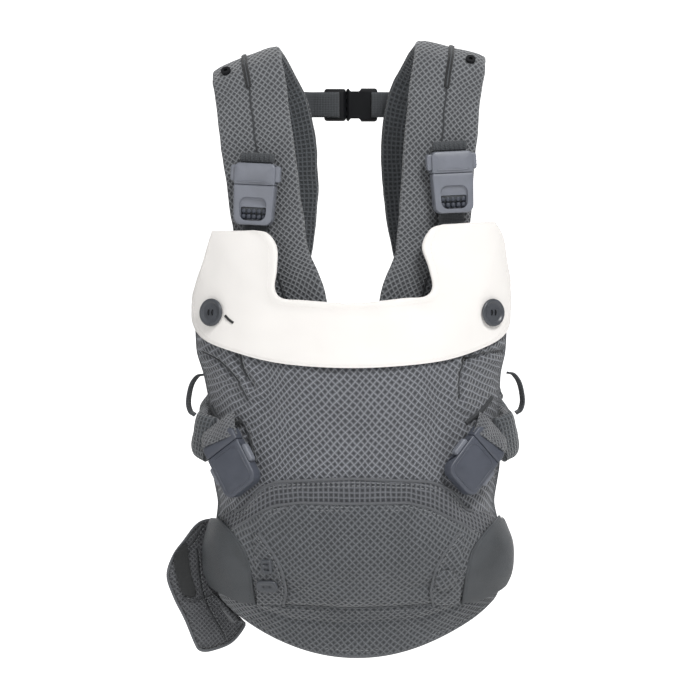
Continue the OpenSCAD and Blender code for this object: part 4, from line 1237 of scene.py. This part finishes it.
def build_buckles():
    for family, spec in BUCKLES.items():
        for word, side in SIDES.items():
            place = placer(spec["at"][side], side * spec["lean"][side], side * spec["yaw"])
            shade = BUCKLE if family == "top" else DEEP_BUCKLE
            body = f"{family}_half_{word}"
            low, high = spec["split"] + 0.3, 31.0
            mid = (low + high) / 2
            profile = edge_profile(12.4, 1.1, min(43, high - low) / 2 - 1)
            corner = 5.5 if family == "top" else 10
            rings = plate_rings(43, high - low, corner, profile, (0, mid), 1.6)
            shell = loft(f"{family}_buckle_{word}_housing", rings, place)
            cutters = []
            for s in (-1, 1):
                z0, z1 = spec["button"]
                pocket = loft("pocket", plate_rings(12.4, z1 - z0 + 0.6, 2.5, [(0, 2.6), (0, 10.6)],
                                                    (s * 20.3, (z0 + z1) / 2)), place)
                cutters.append(pocket)
            rings = plate_rings(18.8, 18, 0.4, [(0, 4.4), (0, 9.6)], (0, spec["split"]))
            cutters.append(loft("slot", rings, place))
            for cutter in cutters:
                carve(shell, cutter)
            finish_plastic(shell, shade, body, [f"{family}_housing_{word}"])
            # a raised rim line across the face
            rim = rounded_rect(43 - 8, high - low - 8, 8, 6)
            rim = np.stack([rim[:, 0], np.full(len(rim), -12.75), rim[:, 1] + mid], 1)
            if family == "side":
                line = tube(f"side_buckle_{word}_ridge", place(rim), 0.55, 6, closed=True)
                piece(line, shade, body)
            else:
                bar = np.stack([np.linspace(-17, 17, 20), -13.2 + 0.002 * np.linspace(-17, 17, 20) ** 2,
                                np.full(20, low + 3.2)], 1)
                piece(tube(f"top_buckle_{word}_ridge", place(bar), 0.7, 8), BUCKLE, body)
            for which, s in button_sides(family, side):
                z0, z1 = spec["button"]
                node = f"{family}_button_{word}_{which}"
                x0, x1 = 17.9, 26.0
                middle = (s * (x0 + x1) / 2, (z0 + z1) / 2)
                rings = plate_rings(x1 - x0, z1 - z0 - 0.6, 2.6, KEY_PROFILE, middle)
                key = loft(f"{node}_key", rings, place)
                piece(key, BUCKLE, f"{node}_press", [node])
                for k in (-4, 0, 4):
                    rib = [(s * 26.0, -5.0, (z0 + z1) / 2 + k), (s * 26.1, -6.8, (z0 + z1) / 2 + k),
                           (s * 26.0, -8.6, (z0 + z1) / 2 + k)]
                    grip = tube(f"{node}_grip_{'abc'[k // 4 + 1]}", place(smooth_curve(rib, 8)), 0.45, 6)
                    piece(grip, BUCKLE, f"{node}_press")
            build_tongue(family, word, shade, spec, place)
            build_magnets(family, word)
            if family == "top":
                build_top_webbing(word, place)
            else:
                build_cuff(word, side, place)


def button_sides(family, side):
    if family == "top":
        return (("outer", side), ("inner", -side))
    return (("upper", side), ("lower", -side))


def finish_plastic(obj, material, body, stands_for):
    edge = obj.modifiers.new("edge", "BEVEL")
    edge.width = 0.35 * MM
    edge.segments = 2
    edge.limit_method = "ANGLE"
    edge.angle_limit = math.radians(50)
    edge.harden_normals = True
    piece(obj, material, body, stands_for)
    obj.data.polygons.foreach_set("use_smooth", [True] * len(obj.data.polygons))


def build_tongue(family, word, shade, spec, place_flat):
    def place(points):
        taper = 1 - 0.085 * np.clip((9 - points[:, 2:]) / 40, 0, 1) if family == "top" else 1
        return place_flat(np.concatenate([points[:, :1] * taper, points[:, 1:]], 1))
    low, high = -31.0, spec["split"]
    mid, tall = (low + high) / 2, high - low
    body = loft(f"{family}_buckle_{word}_tongue",
                plate_rings(43, tall, 1.6, edge_profile(12.2, 0.5, min(43, tall) / 2 - 1), (0, mid),
                            7.5 if family == "top" else 5), place)
    if family == "top":
        for cuts, round_by in ((WINDOW_RECESS, 7.5), (WINDOW, 2.0)):
            rings = []
            for d, z0, z1, half in cuts:
                xz = rounded_rect(2 * half, z1 - z0, round_by) + (0, (z0 + z1) / 2)
                rings.append(np.stack([xz[:, 0], np.full(len(xz), -d), xz[:, 1]], 1))
            carve(body, loft("window", rings, place))
    finish_plastic(body, shade, "root", [f"{family}_tongues"])
    rings = plate_rings(18, 9.5, 1.0, [(0.3, 5.1), (0, 5.4), (0, 8.6), (0.3, 8.9)], (0, spec["split"] + 3.2))
    tab = loft(f"{family}_buckle_{word}_tab", rings, place)
    piece(tab, shade, "root", [f"{family}_tongues"])


def build_cuff(word, side, place):
    """The end of the sleeve, folded over the tongue of the side buckle."""
    s, t = np.meshgrid(np.linspace(-1, 1, 49), np.linspace(0, 1, 41))
    edge = -25.5 + 5.0 * s * side
    x = s * (23.5 - 1.5 * t)
    z = -47 + (edge + 47) * t
    d = 13.6 - 12 * (1 - t) ** 1.6 - 9.0 * np.clip(np.abs(s) - 0.62, 0, 1) ** 1.3 * 2.2
    fall = edge_fall(s, t, 0.05)
    local = np.stack([x, -d, z], 2)
    lump = (wrinkle(local, 16, 1.6, 3) + wrinkle(local, 7, 0.4, 8)) * smoothstep(fall)
    front = local + np.stack([0 * x, -(1.3 * fall + lump), 0 * x], 2)
    back = local + np.stack([0 * x, 1.0 * fall - 0.6 * lump, 0 * x], 2)
    turned = [place(g.reshape(-1, 3)).reshape(g.shape) for g in (front, back)]
    cuff = closed_sheet(f"sleeve_{word}_cuff", *turned)
    fix_normals(cuff)
    piece(cuff, SLEEVE_CLOTH, "root", [f"sleeve_{word}"])
    rim = turned[0][-3, 3:-3]
    outwards = unit(place(np.array([[0, -1.0, 0]])) - place(np.zeros((1, 3))))[0]
    sewn = stitches(f"sleeve_{word}_cuff_stitch", rim, outwards, 2.4, 3.8, 0.4)
    piece(sewn, THREAD, "root")


def build_magnets(family, word):
    refine(f"{family}_magnet_{word}", STEEL, 0.25)
    if family == "top" and word == "left":
        refine("tongue_magnets", STEEL, 0.25)


def build_top_webbing(word, place):
    path = [(0, y, z) for y, z in ((-8, -13.6), (-6.4, -17.5), (-3, -21.6), (0.6, -25.6), (1.7, -30),
                                   (1.7, -50), (1.7, -78))]
    line = smooth_curve(path, 60)
    turn = place(np.array([[1.0, 0, 0]])) - place(np.array([[0.0, 0, 0]]))
    web = ribbon(f"top_buckle_{word}_webbing", place(line), turn[0], 26, 1.6, curve=False)
    piece(web, WEBBING, "root", ["buckle_webbing"])
    # ribbed grip pads in the window
    front = 8.2
    for row, z in enumerate((-16.9, -22.8)):
        for k in range(5):
            x = (k - 2) * 5.4
            profile = [(0.2, 4.6), (0, 5.2), (0.1, front - 0.6), (0.6, front), (1.5, front + 0.4)]
            pad = loft(f"top_buckle_{word}_pad_{row}{k}", plate_rings(4.8, 5.2, 2.1, profile, (x, z)), place)
            piece(pad, BUCKLE_DARK, "root")
    profile = [(1.2, 1.4), (0.3, 1.9), (0, 3.2), (0, 5), (0.4, 6), (1.6, 6.6), (4, 6.8)]
    knuckle = loft(f"top_knuckle_{word}_roll", plate_rings(36, 10, 3, profile, (0, 36.4)), place)
    piece(knuckle, WEBBING, f"top_half_{word}", [f"top_knuckle_{word}"])
    for k in range(7):
        x = (k - 3) * 4.9
        rib = smooth_curve([(x, -5.2, 32.2), (x, -7.0, 34.2), (x, -7.2, 38.2), (x, -5.2, 40.8)], 12)
        rib = tube(f"top_knuckle_{word}_rib_{k}", place(rib), 1.3, 8, 0.7)
        piece(rib, WEBBING, f"top_half_{word}")


def build_snaps():
    refine("strap_snaps", BLACK, 0.5)


def build_seat_fittings():
    for name, xz, d, w, h, r, material, node in (
            ("seat_button_oval", (-83, 32), 7.4, 24, 13, 6.4, BUTTON, "seat_button"),
            ("seat_keeper_plate", (-83, 50), 7.2, 12, 15, 2.4, BUTTON, "seat_keeper")):
        normal, origin = on_panel_normal(np.array(xz, float)), on_panel(np.array(xz, float), d)
        profile = [(0.8, -0.2), (0, 0.6), (0, 1.7), (0.4, 2.6), (1.4, 3.1), (2.6, 3.2), (3.6, 2.7), (4.6, 2.5)]
        rings = plate_rings(w, h, r, profile)

        def local(points, origin=origin, normal=normal):
            return facing(points, origin, normal)
        obj = loft(name, rings, local)
        for k in (-1, 1):
            at = (3.2 * k, 0) if "oval" in name else (0, 2.9 * k)
            size = (2.2, 2.6) if "oval" in name else (6.4, 2.0)
            carve(obj, loft("hole", plate_rings(*size, 1.0, [(0, 1.2), (0, 5)], at), local))
        piece(obj, material, "root", [node])
    xz = np.array((90, 38), float)
    profile = [(9.5, -0.6), (11.2, 0), (11.5, 1), (11, 2.2), (9.4, 3.2), (6.5, 3.9), (3, 4.2), (0.4, 4.3)]
    points, faces = ring_solid(profile, 48)
    placed = facing(points, on_panel(xz, 7.2), on_panel_normal(xz)) * MM
    dome = new_object("covered_button_dome", placed, faces, points[:, [0, 2]] * MM)
    fix_normals(dome)
    piece(dome, SEAT_CLOTH, "root", ["covered_button"])


def build_carried_over():
    for node, material in (("panel_foam", FOAM), ("belt_webbing_right", WEBBING)):
        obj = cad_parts[node]
        obj.data.materials.clear()
        obj.data.materials.append(material)


make_stage()
build_panel()
build_seat()
build_seat_trim()
build_seat_fittings()
build_bib()
build_belt()
build_pouch()
build_straps()
build_loops()
build_cross_strap()
build_buckles()
build_snaps()
build_carried_over()
